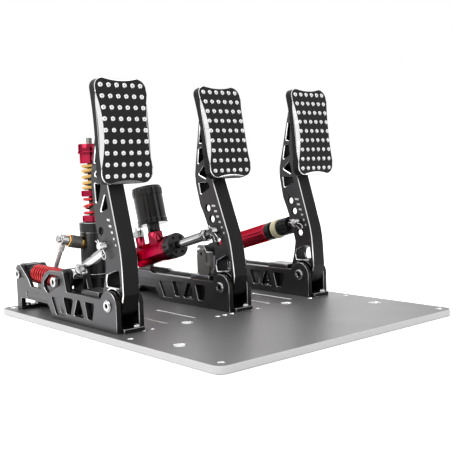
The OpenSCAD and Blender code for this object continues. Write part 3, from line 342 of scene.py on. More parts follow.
@dataclass
class StudioCamera:
    """The camera that took the photograph, worked out from the plate's corners.

    Args:
        place: Where the lens stands, in millimetres.
        heading: Degrees that it looks round from straight ahead, to the right.
        dip: Degrees that it looks down.
        tilt: Degrees that it is turned about its own axis.
        lens: Focal length in millimetres.
        film: Width of the film in millimetres.
        clip: Nearest and farthest distance that it sees, in metres.
    """

    place: Triple = (-619.7, -743.1, 187.2)
    heading: float = 40.7345
    dip: float = 4.5504
    tilt: float = -1.7534
    lens: float = 62.5858
    film: float = 36.0
    clip: Point = (0.01, 20.0)

    def build(self) -> None:
        """Makes the camera and sets it as the scene's own."""
        heading, dip, tilt = (math.radians(a) for a in (self.heading, self.dip, self.tilt))
        ahead = Vector((math.sin(heading) * math.cos(dip), math.cos(heading) * math.cos(dip), -math.sin(dip)))
        right = Vector((math.cos(heading), -math.sin(heading), 0.0))
        down = ahead.cross(right)
        across = right * math.cos(tilt) - down * math.sin(tilt)
        below = right * math.sin(tilt) + down * math.cos(tilt)
        turn = Matrix((across, -below, -ahead)).transposed().to_4x4()
        data = bpy.data.cameras.new("photo_camera")
        data.sensor_width, data.lens = self.film, self.lens
        data.clip_start, data.clip_end = self.clip
        camera = bpy.data.objects.new("photo_camera", data)
        camera.matrix_world = Matrix.Translation(mm(*self.place)) @ turn
        bpy.context.scene.collection.objects.link(camera)
        bpy.context.scene.camera = camera


@dataclass
class SoftBox:
    """One large studio lamp aimed at the set.

    Args:
        name: The lamp's name.
        place: Where it hangs, in metres.
        width: Its width in metres.
        height: Its height in metres.
        power: Its power in watts.
        aim: The place that it faces, in metres.
    """

    name: str
    place: Triple
    width: float
    height: float
    power: float
    aim: Triple = (0.0, 0.0, 0.12)

    def build(self) -> None:
        """Hangs the lamp and turns it to the middle of the set."""
        data = bpy.data.lights.new(self.name, "AREA")
        data.shape = "RECTANGLE"
        data.size, data.size_y = self.width, self.height
        data.energy = self.power
        lamp = bpy.data.objects.new(self.name, data)
        lamp.rotation_euler = (Vector(self.aim) - Vector(self.place)).to_track_quat("-Z", "Y").to_euler()
        lamp.location = self.place
        bpy.context.scene.collection.objects.link(lamp)


@dataclass
class Studio:
    """The pale floor, the white surroundings and the lamps.

    Args:
        floor_size: Width of the square floor in metres.
        floor_drop: How far the floor lies under the plate, in metres.
        floor_colour: Brightness of the floor's paint.
        floor_lift: Share of white that the camera sees added to the floor.
        sky_light: Strength of the surroundings on the set.
        lamps: The lamps, as soft boxes.
    """

    floor_size: float = 16.0
    floor_drop: float = 0.0004
    floor_colour: float = 0.9
    floor_lift: float = 0.78
    sky_light: float = 0.62
    lamps: list[SoftBox] = field(default_factory=lambda: [
        SoftBox("key_box", (-1.6, 0.1, 1.4), 1.4, 1.2, 17.0),
        SoftBox("front_box", (0.7, -1.9, 1.2), 1.6, 0.9, 5.0),
        SoftBox("top_box", (0.1, 0.5, 1.9), 1.8, 1.2, 17.0),
        SoftBox("back_box", (1.5, 1.5, 0.9), 1.2, 1.2, 5.0),
    ])

    def build(self) -> None:
        """Makes the floor, the world and the lamps."""
        mesh = bpy.data.meshes.new("studio_floor")
        bm = bmesh.new()
        bmesh.ops.create_grid(bm, x_segments=1, y_segments=1, size=self.floor_size / 2)
        bmesh.ops.translate(bm, vec=(0.0, 0.0, -self.floor_drop), verts=bm.verts)
        bm.to_mesh(mesh)
        bm.free()
        floor = bpy.data.objects.new("studio_floor", mesh)
        bpy.context.scene.collection.objects.link(floor)
        floor.data.materials.append(self.floor_paint())
        self.surroundings()
        for lamp in self.lamps:
            lamp.build()
        bpy.context.scene.view_settings.view_transform = "Standard"

    def floor_paint(self) -> Material:
        """A matt white that goes to plain white in the camera but keeps shadows.

        Returns:
            The floor's material.
        """
        paint = bpy.data.materials.new("studio_floor_white")
        graph = bare_graph(paint)
        matt = graph.add("BsdfDiffuse", {"Color": (*[self.floor_colour] * 3, 1.0)})
        lift = graph.math("MULTIPLY", graph.seen_by("Is Camera Ray", "Is Glossy Ray"), self.floor_lift)
        glow = graph.add("Emission", {"Strength": lift})
        both = graph.add("AddShader", {0: matt.outputs[0], 1: glow.outputs[0]})
        graph.add("OutputMaterial", {"Surface": both.outputs[0]})
        return paint

    def surroundings(self) -> None:
        """White for the camera and for reflections, and a plain soft light."""
        world = bpy.data.worlds.new("studio_white")
        bpy.context.scene.world = world
        graph = bare_graph(world)
        clear = graph.seen_by("Is Camera Ray", "Is Glossy Ray", "Is Transmission Ray")
        level = graph.span(clear, to_min=self.sky_light, to_max=1.0)
        sky = graph.add("Background", {"Color": (1.0, 1.0, 1.0, 1.0), "Strength": level})
        graph.add("OutputWorld", {"Surface": sky.outputs[0]})


# Finishes


class Lay(Enum):
    """How a surface was worked, which sets the run of its grain."""

    BLASTED = (1.0, 1.0, 1.0)
    MILLED_UP = (1.0, 1.0, 0.08)
    MILLED_ALONG = (1.0, 0.06, 1.0)
    TURNED = (0.12, 0.12, 1.0)
    MOULDED = (0.9, 0.9, 0.7)


@dataclass(frozen=True)
class Finish:
    """One surface finish, made of the shared groups and a Principled shader.

    Args:
        name: The material's name.
        colour: Linear red, green and blue.
        rough: Roughness.
        metal: 0 for paint and plastic, 1 for bare metal.
        lay: How the surface was worked.
        scale: Grains in a metre.
        tone: How much the grain changes the colour.
        tooth: How much the grain changes the roughness.
        bump: Depth of the grain in millimetres.
        wear: How much the corners are rubbed.
        worn: Colour where they are rubbed.
        dust: Amount of dust and smears.
        coat: Weight of a clear coat.
        shine: Level of the reflections of paint and plastic.
        glance: Tint of a metal's reflections near its outline.
    """

    name: str
    colour: Triple
    rough: float
    metal: float = 1.0
    lay: Lay = Lay.BLASTED
    scale: float = 1400.0
    tone: float = 0.12
    tooth: float = 0.12
    bump: float = 0.012
    wear: float = 0.25
    worn: Triple = (0.5, 0.5, 0.51)
    dust: float = 0.03
    coat: float = 0.0
    shine: float = 0.5
    glance: Triple = (1.0, 1.0, 1.0)

    def material(self) -> Material:
        """Makes the material once and hands the same one out after that.

        Returns:
            The finish's material.
        """
        made = bpy.data.materials.get(self.name)
        if made is None:
            made = bpy.data.materials.new(self.name)
            made.use_nodes = True
            self.wire(made, Graph(made.node_tree))
        return made

    def wire(self, made: Material, graph: Graph) -> None:
        """Joins grain, wear and dust to the shader.

        Args:
            made: The new material.
            graph: Its node tree.
        """
        grain = graph.group("surface_grain", {
            "Color": (*self.colour, 1.0), "Roughness": self.rough, "Scale": self.scale,
            "Run": self.lay.value, "Tone": self.tone, "Tooth": self.tooth,
        })
        wear = graph.group("edge_wear", {
            "Color": grain.outputs["Color"], "Roughness": grain.outputs["Roughness"],
            "Worn Color": (*self.worn, 1.0), "Amount": self.wear,
        })
        dust = graph.group("dust_film", {
            "Color": wear.outputs["Color"], "Roughness": wear.outputs["Roughness"], "Amount": self.dust,
        })
        graph.feed(made.node_tree.nodes["Principled BSDF"], {
            "Base Color": dust.outputs["Color"], "Roughness": dust.outputs["Roughness"],
            "Normal": graph.bump(strength=0.6, depth=self.bump, height=grain.outputs["Height"]),
            "Metallic": self.metal, "Specular IOR Level": self.shine, "Specular Tint": (*self.glance, 1.0),
            "Coat Weight": self.coat, "Coat Roughness": 0.12,
        })
        made.diffuse_color = (*self.colour, 1.0)


@dataclass(frozen=True)
class BraidFinish(Finish):
    """Braided steel over a hose."""

    def wire(self, made: Material, graph: Graph) -> None:
        """Joins the braid to the shader.

        Args:
            made: The new material.
            graph: Its node tree.
        """
        braid = graph.group("wire_braid", {"Wire Color": (*self.colour, 1.0)})
        graph.feed(made.node_tree.nodes["Principled BSDF"], {
            "Base Color": braid.outputs["Color"], "Metallic": self.metal, "Roughness": self.rough,
            "Normal": graph.bump(strength=0.9, depth=self.bump, height=braid.outputs["Height"]),
        })


DECK_GREY = Finish("deck_grey", (0.175, 0.17, 0.175), 0.42, 0.55, scale=1700, tone=0.1, wear=0.1, dust=0.02)
DECK_EDGE = Finish("deck_cut_edge", (0.62, 0.62, 0.62), 0.42, 0.0, Lay.MILLED_UP, 900, tone=0.05, wear=0.0)
# Painted shade: near-black for the plate's lower broken edge, which faces the floor.
DECK_FOOT_SHADE = Finish("deck_lower_edge", (0.05, 0.05, 0.05), 0.5, 0.0, tone=0.05, wear=0.0)
FLANK_BLACK = Finish("flank_black", (0.085, 0.083, 0.087), 0.34, scale=1500, tone=0.15, wear=0.0)
# Painted shade: the arms' flanks take a darker copy of the frames' flank black.
ARM_FLANK_SHADED = Finish("arm_flank_black", (0.055, 0.054, 0.057), 0.34, scale=1500, tone=0.15, wear=0.0)
FRAME_EDGE = Finish("frame_cut_edge", (0.34, 0.34, 0.345), 0.26, 1.0, Lay.MILLED_ALONG, 900, tone=0.1,
                    wear=0.0)
# Painted shade: a much darker, duller copy of the flank black for faces that lie in shade, that is the fronts
# of frames and brackets, the arms' edge faces and the arms' window walls.
SHADED_FACE_BLACK = Finish("face_black", (0.009, 0.009, 0.0095), 0.42, 0.0, scale=1500, tone=0.15, wear=0.1,
                    dust=0.01, worn=(0.06, 0.06, 0.06), shine=0.14)
CUT_SILVER = Finish("diamond_cut_silver", (0.86, 0.86, 0.86), 0.2, 1.0, Lay.MILLED_ALONG, 700, tone=0.06,
                    wear=0.0, dust=0.01)
PAD_BLACK = Finish("blasted_pad_black", (0.011, 0.011, 0.0115), 0.42, 0.0, scale=1600, tone=0.2, wear=0.05,
                   dust=0.004, worn=(0.05, 0.05, 0.05), shine=0.14)
STUD_STEEL = Finish("stud_steel", (0.66, 0.66, 0.66), 0.3, 1.0, Lay.TURNED, 1200, tone=0.08, wear=0.0)
# Painted shade: a darker copy of the stud steel for the floors of the dimples.
STUD_DIMPLE_SHADE = Finish("stud_dimple", (0.2, 0.2, 0.2), 0.35, 1.0, Lay.TURNED, 1200, tone=0.08, wear=0.0)
BLACK_ANODISED = Finish("satin_black_anodise", (0.012, 0.012, 0.013), 0.28, 0.3, scale=1500, wear=0.15,
                        worn=(0.2, 0.2, 0.2), shine=0.3)
RED_ANODISED = Finish("deep_red_anodise", (0.27, 0.009, 0.032), 0.17, 1.0, Lay.TURNED, 1100, tone=0.1,
                      wear=0.12, worn=(0.5, 0.1, 0.13), glance=(0.7, 0.28, 0.34))
TUBE_RED = Finish("damper_tube_red", (0.46, 0.03, 0.055), 0.28, 1.0, Lay.TURNED, 1100, tone=0.1,
                  wear=0.1, worn=(0.5, 0.1, 0.13), glance=(0.6, 0.2, 0.24))
NECK_STEEL = Finish("hose_neck_steel", (0.78, 0.78, 0.78), 0.45, 0.1, Lay.TURNED, 900, tone=0.1, wear=0.0)
BRIGHT_STEEL = Finish("turned_bright_steel", (0.52, 0.52, 0.52), 0.15, 1.0, Lay.TURNED, 1000, tone=0.08,
                      wear=0.2, worn=(0.8, 0.8, 0.8))
ROD_STEEL = Finish("grey_rod_steel", (0.13, 0.115, 0.115), 0.22, 1.0, Lay.TURNED, 1000, tone=0.1, wear=0.15)
# Painted shade: near-black for the inside of the bolts' hexagon sockets.
SOCKET_SHADE = Finish("socket_dark", (0.01, 0.01, 0.01), 0.5, 0.0, wear=0.0, shine=0.1)
BUSH_BRONZE = Finish("bush_bronze", (0.45, 0.28, 0.12), 0.35, 1.0, Lay.TURNED, wear=0.1)
SPRING_RED = Finish("spring_red_enamel", (0.58, 0.006, 0.011), 0.2, 0.45, tone=0.08, wear=0.0, coat=0.4,
                    shine=0.4)
SPRING_GOLD = Finish("spring_gold_enamel", (0.8, 0.5, 0.12), 0.25, 0.0, tone=0.08, wear=0.0, coat=0.25,
                     shine=0.3)
GOLD_WASHER = Finish("gold_washer", (0.83, 0.52, 0.14), 0.22, 1.0, Lay.TURNED, wear=0.1)
BARREL_GREY = Finish("sensor_barrel_grey", (0.12, 0.115, 0.11), 0.35, 0.5, wear=0.2)
GLOSS_BLACK = Finish("gloss_black", (0.004, 0.004, 0.004), 0.14, 0.0, Lay.MOULDED, 1000, tone=0.1,
                     tooth=0.05, wear=0.0, shine=0.3)
CREAM_RUBBER = Finish("cream_rubber", (0.7, 0.64, 0.42), 0.5, 0.0, Lay.MOULDED, 900, wear=0.0)
MARK_SILVER = Finish("mark_silver", (0.75, 0.75, 0.75), 0.4, 0.3, wear=0.0)
FORK_STEEL = Finish("dark_fork_steel", (0.13, 0.13, 0.13), 0.14, tone=0.1, wear=0.3, worn=(0.8, 0.8, 0.8))
HOSE_BRAID = BraidFinish("hose_steel_braid", (0.85, 0.85, 0.85), 0.4, 0.1, bump=0.3)


# Working on meshes


def pedal_matrix(x: float, lean: float = 0.0) -> Matrix:
    """Where a pedal's own sizes start: its pivot, turned by its lean.

    Args:
        x: The pedal's place across the plate, in millimetres.
        lean: Degrees that the arm leans towards the driver.

    Returns:
        The matrix from pedal millimetres to the row frame in metres.
    """
    return Matrix.Translation(mm(x, PIVOT_Y, PIVOT_Z)) @ turned(lean) @ MILLIMETRES


def line_matrix(x: float, start: Point, end: Point) -> Matrix:
    """A frame whose Z runs from one point beside a pedal to another.

    Args:
        x: Place across the plate, in millimetres.
        start: Y and Z of the start, from the pedal's pivot.
        end: Y and Z of the end.

    Returns:
        The matrix from millimetres along the line to the row frame in metres.
    """
    fall = math.atan2(start[1] - end[1], end[0] - start[0])
    return pedal_matrix(x) @ shifted(0.0, *start) @ Matrix.Rotation(-math.pi / 2 - fall, 4, "X")


def verts_of(geom: list[object]) -> list[BMVert]:
    """The vertices among an operator's results."""
    return [g for g in geom if isinstance(g, BMVert)]


def middle_of(edge: BMEdge) -> Vector:
    """The middle of an edge."""
    return (edge.verts[0].co + edge.verts[1].co) / 2


def draw_loop(bm: BMesh, corners: list[Triple]) -> tuple[list[BMVert], list[BMEdge]]:
    """Draws a closed outline.

    Args:
        bm: The mesh to draw in.
        corners: The outline's corners.

    Returns:
        Its vertices and its edges.
    """
    verts = [bm.verts.new(corner) for corner in corners]
    return verts, [bm.edges.new(pair) for pair in zip(verts, verts[1:] + verts[:1])]


def settle(name: str, bm: BMesh, finishes: list[Finish], node: str, smooth: float = SMOOTH_ANGLE,
           replace: bool = True) -> Piece:
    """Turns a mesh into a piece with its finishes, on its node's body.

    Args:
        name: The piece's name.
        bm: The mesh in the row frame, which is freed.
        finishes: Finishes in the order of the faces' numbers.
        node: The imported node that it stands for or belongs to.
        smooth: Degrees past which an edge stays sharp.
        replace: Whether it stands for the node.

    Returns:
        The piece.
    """
    mesh = bpy.data.meshes.new(name)
    bm.to_mesh(mesh)
    bm.free()
    for finish in finishes:
        mesh.materials.append(finish.material())
    mesh.shade_smooth()
    mesh.set_sharp_from_angle(angle=math.radians(smooth))
    piece = bpy.data.objects.new(name, mesh)
    bpy.context.scene.collection.objects.link(piece)
    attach(piece, frame["nodes"][node]["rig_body"])
    if replace:
        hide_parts(node)
    LOG.info("%s: %d faces", piece.name, len(mesh.polygons))
    return piece


def new_piece(name: str, bm: BMesh, finish: Finish, node: str, smooth: float = SMOOTH_ANGLE,
              replace: bool = False) -> Piece:
    """Settles a drawn mesh of one finish, with its faces turned outwards."""
    bmesh.ops.recalc_face_normals(bm, faces=bm.faces[:])
    return settle(name, bm, [finish], node, smooth, replace)


def flank_or_shaded_face(_: Vector, normal: Vector) -> int:
    """Satin metal all round, and a darker, duller black painted as shade on what faces the driver."""
    return 1 if normal.y < -0.5 else 0


def always(number: int) -> FaceRule:
    """A rule that picks the same finish everywhere."""
    return lambda *_: number


@dataclass
class MachinedSolid:
    """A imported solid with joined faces, broken edges and its finishes.

    Args:
        node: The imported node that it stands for.
        finishes: The finishes, picked by number by the rules.
        rule: Gives a face's finish from its middle and its normal, both in the solid's own frame.
        frame_of: The solid's own frame, from its millimetres to the row frame.
        break_width: Width of the broken edges in millimetres, or 0 for none.
        break_rule: Gives a broken edge's finish in the same way. Without it, the neighbour's stays.
        leave: Tells from an edge's middle, in the solid's own frame, whether it stays sharp.
        sharp: Least angle in degrees between two faces whose edge is broken.
    """

    node: str
    finishes: list[Finish]
    rule: FaceRule = always(0)
    frame_of: Matrix = field(default_factory=MILLIMETRES.copy)
    break_width: float = 0.35
    break_rule: FaceRule | None = None
    leave: Callable[[Vector], bool] | None = None
    sharp: float = 38.0

    def build(self, shape: Callable[[BMesh], None] | None = None) -> Piece:
        """Makes the piece and lets it ride where its node does.

        Args:
            shape: Further work on the mesh, before its edges are broken.

        Returns:
            The finished piece.
        """
        bm = bmesh.new()
        bm.from_mesh(frame["nodes"][self.node].data)
        bmesh.ops.remove_doubles(bm, verts=bm.verts[:], dist=WELD)
        bmesh.ops.dissolve_limit(bm, angle_limit=math.radians(FLAT_ANGLE), use_dissolve_boundaries=False,
                                 verts=bm.verts[:], edges=bm.edges[:], delimit=set())
        bm.normal_update()
        self.paint(bm.faces, self.rule)
        if shape is not None:
            shape(bm)
        if self.break_width > 0:
            self.break_edges(bm)
        return settle(self.node + "_finished", bm, self.finishes, self.node)

    def paint(self, faces: list[bmesh.types.BMFace], rule: FaceRule) -> None:
        """Gives each face the number of its finish."""
        back = self.frame_of.inverted()
        turn = back.to_3x3().normalized()
        for face in faces:
            face.material_index = rule(back @ face.calc_center_median(), (turn @ face.normal).normalized())

    def break_edges(self, bm: BMesh) -> None:
        """Cuts a small flat on each sharp outer edge."""
        limit = math.radians(self.sharp)
        edges = [e for e in bm.edges if e.is_manifold and e.is_convex and e.calc_length() > SHORT_EDGE * MM
                 and e.calc_face_angle(0.0) > limit]
        if self.leave is not None:
            back = self.frame_of.inverted()
            edges = [e for e in edges if not self.leave(back @ middle_of(e))]
        if not edges:
            return
        cut = bmesh.ops.bevel(bm, geom=edges, offset=self.break_width * MM, offset_type="OFFSET", segments=1,
                              profile=0.5, affect="EDGES", clamp_overlap=False, material=-1, loop_slide=True)
        if self.break_rule is not None:
            for face in cut["faces"]:
                face.normal_update()
            self.paint(cut["faces"], self.break_rule)


def machine(nodes: str, finish: Finish, width: float, cut: Finish | None = None) -> None:
    """Machines solids that have one finish all over, and at most another one on their broken edges.

    Args:
        nodes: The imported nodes' names, with spaces between them.
        finish: The finish all over.
        width: Width of the broken edges in millimetres.
        cut: The finish on the broken edges, where it differs.
    """
    for node in nodes.split():
        if cut is None:
            MachinedSolid(node, [finish], break_width=width).build()
        else:
            MachinedSolid(node, [finish, cut], break_width=width, break_rule=always(1)).build()


def machine_bolt(node: str, x: float, at: Point, width: float = 0.35, reach: float = 3.6) -> None:
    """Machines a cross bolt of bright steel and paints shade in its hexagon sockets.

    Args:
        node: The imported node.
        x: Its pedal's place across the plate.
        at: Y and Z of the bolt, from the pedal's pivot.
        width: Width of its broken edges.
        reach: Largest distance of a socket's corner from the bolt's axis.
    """
    back = pedal_matrix(x).inverted()

    def paint_socket_shade(bm: BMesh) -> None:
        """Paints shade on the faces whose corners all lie close to the bolt's axis."""
        for face in bm.faces:
            spots = [back @ vert.co for vert in face.verts]
            if all(math.hypot(spot.y - at[0], spot.z - at[1]) < reach for spot in spots):
                face.material_index = 1

    MachinedSolid(node, [BRIGHT_STEEL, SOCKET_SHADE], break_width=width).build(paint_socket_shade)


def smooth_path(points: list[Vector], steps: int) -> list[Vector]:
    """Points on a smooth curve through the given ones.

    Args:
        points: The points to pass through.
        steps: New points to each gap.

    Returns:
        The closer points.
    """
    path = []
    for i in range(len(points) - 1):
        a, b = points[max(i - 1, 0)], points[i]
        c, d = points[i + 1], points[min(i + 2, len(points) - 1)]
        for k in range(steps):
            t = k / steps
            path.append(0.5 * (2 * b + (c - a) * t + (2 * a - 5 * b + 4 * c - d) * t * t
                               + (3 * b - a - 3 * c + d) * t * t * t))
    return path + [points[-1]]


def sweep(path: list[Vector], radius: float, sides: int, up: Vector) -> BMesh:
    """Draws a round section along a path, with a UV map that follows it.

    Args:
        path: The middle of the tube.
        radius: Its radius.
        sides: Sides of its section.
        up: A direction that the path never takes.

    Returns:
        The tube as a closed bmesh.
    """
    bm = bmesh.new()
    along = bm.loops.layers.uv.new("along")
    ring = bmesh.ops.create_circle(bm, cap_ends=False, radius=1.0, segments=sides)["verts"]
    edges = bm.edges[:]
    rings, reaches, reach = [], [], 0.0
    for i, point in enumerate(path):
        ahead = (path[min(i + 1, len(path) - 1)] - path[max(i - 1, 0)]).normalized()
        a = ahead.cross(up).normalized()
        b = ahead.cross(a)
        if i:
            grown = bmesh.ops.extrude_edge_only(bm, edges=edges)["geom"]
            ring = verts_of(grown)
            edges = [g for g in grown if isinstance(g, BMEdge) and all(v in ring for v in g.verts)]
            reach += (point - path[i - 1]).length
            ring = sorted(ring, key=lambda v: order_in_ring(v, rings[-1]))
        for k, vert in enumerate(ring):
            turn = FULL_TURN * k / sides
            vert.co = point + radius * (a * math.cos(turn) + b * math.sin(turn))
        rings.append(list(ring))
        reaches.append(reach)
    place = {vert: (i, k) for i, verts in enumerate(rings) for k, vert in enumerate(verts)}
    for face in bm.faces:
        ks = [place[loop.vert][1] for loop in face.loops]
        wraps = max(ks) - min(ks) > 1
        for loop in face.loops:
            i, k = place[loop.vert]
            k = k + sides if wraps and k == 0 else k
            loop[along].uv = (reaches[i] / (FULL_TURN * radius), k / sides)
    for verts in (rings[0], rings[-1]):
        bmesh.ops.contextual_create(bm, geom=verts)
    return bm


def order_in_ring(vert: BMVert, before: list[BMVert]) -> int:
    """The place in the last ring of the vertex that this one grew from."""
    for edge in vert.link_edges:
        other = edge.other_vert(vert)
        if other in before:
            return before.index(other)
    return 0


def spun(profile: list[Point], sides: int = 48) -> BMesh:
    """Turns a profile round Z, as on a lathe.

    Args:
        profile: Radius and height pairs, from the axis to the axis.
        sides: Steps round.

    Returns:
        The closed bmesh.
    """
    bm = bmesh.new()
    verts = [bm.verts.new((r, 0.0, z)) for r, z in profile]
    edges = [bm.edges.new(pair) for pair in zip(verts, verts[1:])]
    bmesh.ops.spin(bm, geom=verts + edges, cent=(0, 0, 0), axis=(0, 0, 1), angle=FULL_TURN, steps=sides,
                   use_merge=True)
    bmesh.ops.remove_doubles(bm, verts=bm.verts[:], dist=1e-5)
    return bm


def arc(radius: float, start: int, stop: int, step: int, centre: Point = (0.0, 0.0)) -> list[Point]:
    """Points on an arc, from one angle in degrees to another."""
    angles = [math.radians(a) for a in range(start, stop + 1, step)]
    return [(centre[0] + radius * math.cos(a), centre[1] + radius * math.sin(a)) for a in angles]


# Pieces


@dataclass
class BasePlate:
    """The grey plate with its pale cut edges and its countersunk holes.

    Args:
        chamfer: Width of the broken edge round the plate in millimetres.
        sink: Width of the countersink of the round holes.
        slot_sink: Width of the broken edge of the slots.
        rim: How far inside the plate's outline the holes start.
        upright: Least share of Z in the normal of a top or bottom face.
        half: Half of the plate's width and depth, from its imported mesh.
    """

    chamfer: float = 0.5
    sink: float = 1.1
    slot_sink: float = 0.5
    rim: float = 4.0
    upright: float = 0.9
    half: Point = field(init=False)

    def __post_init__(self) -> None:
        """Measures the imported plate."""
        corners = [vert.co / MM for vert in frame["nodes"]["base_plate"].data.vertices]
        self.half = (max(corner.x for corner in corners), max(corner.y for corner in corners))

    def build(self) -> None:
        """Makes the plate: grey above and below, pale where it was cut, and near-black as painted shade on
        the lower broken edge.
        """
        # The lower broken edge gets the painted shade and the upper one is pale.
        plate = MachinedSolid("base_plate", [DECK_GREY, DECK_EDGE, DECK_FOOT_SHADE, CUT_SILVER], self.finish_of,
                              break_width=self.chamfer, break_rule=lambda _, n: 2 if n.z < 0.0 else 1,
                              leave=self.inside)
        piece = plate.build(self.countersink)
        for face in piece.data.polygons:
            face.use_smooth = abs(face.normal.z) < self.upright

    def finish_of(self, centre: Vector, normal: Vector) -> int:
        """Grey above and below, pale round the outside and bright in the holes."""
        if abs(normal.z) > self.upright:
            return 0
        return 3 if self.inside(centre) else 1

    def inside(self, spot: Vector) -> bool:
        """Whether a place lies inside the outline, where the holes are."""
        return abs(spot.x) < self.half[0] - self.rim and abs(spot.y) < self.half[1] - self.rim

    def countersink(self, bm: BMesh) -> None:
        """Cuts a bright bevel round the top of each hole.

        Args:
            bm: The plate's mesh.
        """
        top, slack, bend = max(vert.co.z for vert in bm.verts), 1e-5, 1.0
        rims = [e for e in bm.edges if e.calc_face_angle(0.0) > bend and self.inside(middle_of(e) / MM)
                and all(v.co.z > top - slack for v in e.verts)]
        slots = [e for e in rims if self.in_slot(middle_of(e) / MM)]
        holes = [e for e in rims if e not in slots]
        for edges, width in ((holes, self.sink), (slots, self.slot_sink)):
            cut = bmesh.ops.bevel(bm, geom=edges, offset=width * MM, offset_type="OFFSET", segments=1,
                                  profile=0.5, affect="EDGES", clamp_overlap=False, material=-1)
            for face in cut["faces"]:
                face.material_index = 3

    def in_slot(self, spot: Vector) -> bool:
        """Whether a place belongs to one of the long slots."""
        start, end, near, far = -29.0, 49.0, 50.0, 110.0
        return start < spot.y < end and near < abs(spot.x) < far


FLOOR_TOP = PLATE_TOP + 5.0
FLOOR_SCREWS = [(7.0, -16.0), (-7.0, 76.0), (7.0, 76.0), (-7.0, 211.0), (7.0, 211.0)]
SCREW_PROFILE = [
    (0.0, 0.2), (4.3, 0.2), (4.3, 1.4), (3.9, 2.4), (3.0, 3.1), (1.9, 3.2), (1.8, 1.6), (0.0, 1.6),
]


@dataclass
class PedalFrame:
    """A channel frame with its floor screws.

    Args:
        name: Which pedal it belongs to.
        x: The pedal's place across the plate.
        chamfer: Width of the broken edges.
    """

    name: str
    x: float
    chamfer: float = 0.45

    def build(self) -> None:
        """Makes the frame and its screws."""
        node = self.name + "_frame"
        MachinedSolid(node, [FLANK_BLACK, SHADED_FACE_BLACK, FRAME_EDGE], flank_or_shaded_face, break_width=self.chamfer,
                      break_rule=always(2)).build()
        for i, (across, behind) in enumerate(FLOOR_SCREWS):
            bm = spun(SCREW_PROFILE, 32)
            place = pedal_matrix(self.x) @ shifted(across, behind, FLOOR_TOP - PIVOT_Z)
            bmesh.ops.transform(bm, matrix=place, verts=bm.verts)
            new_piece(f"{self.name}_floor_screw_{i + 1}", bm, BRIGHT_STEEL, node)


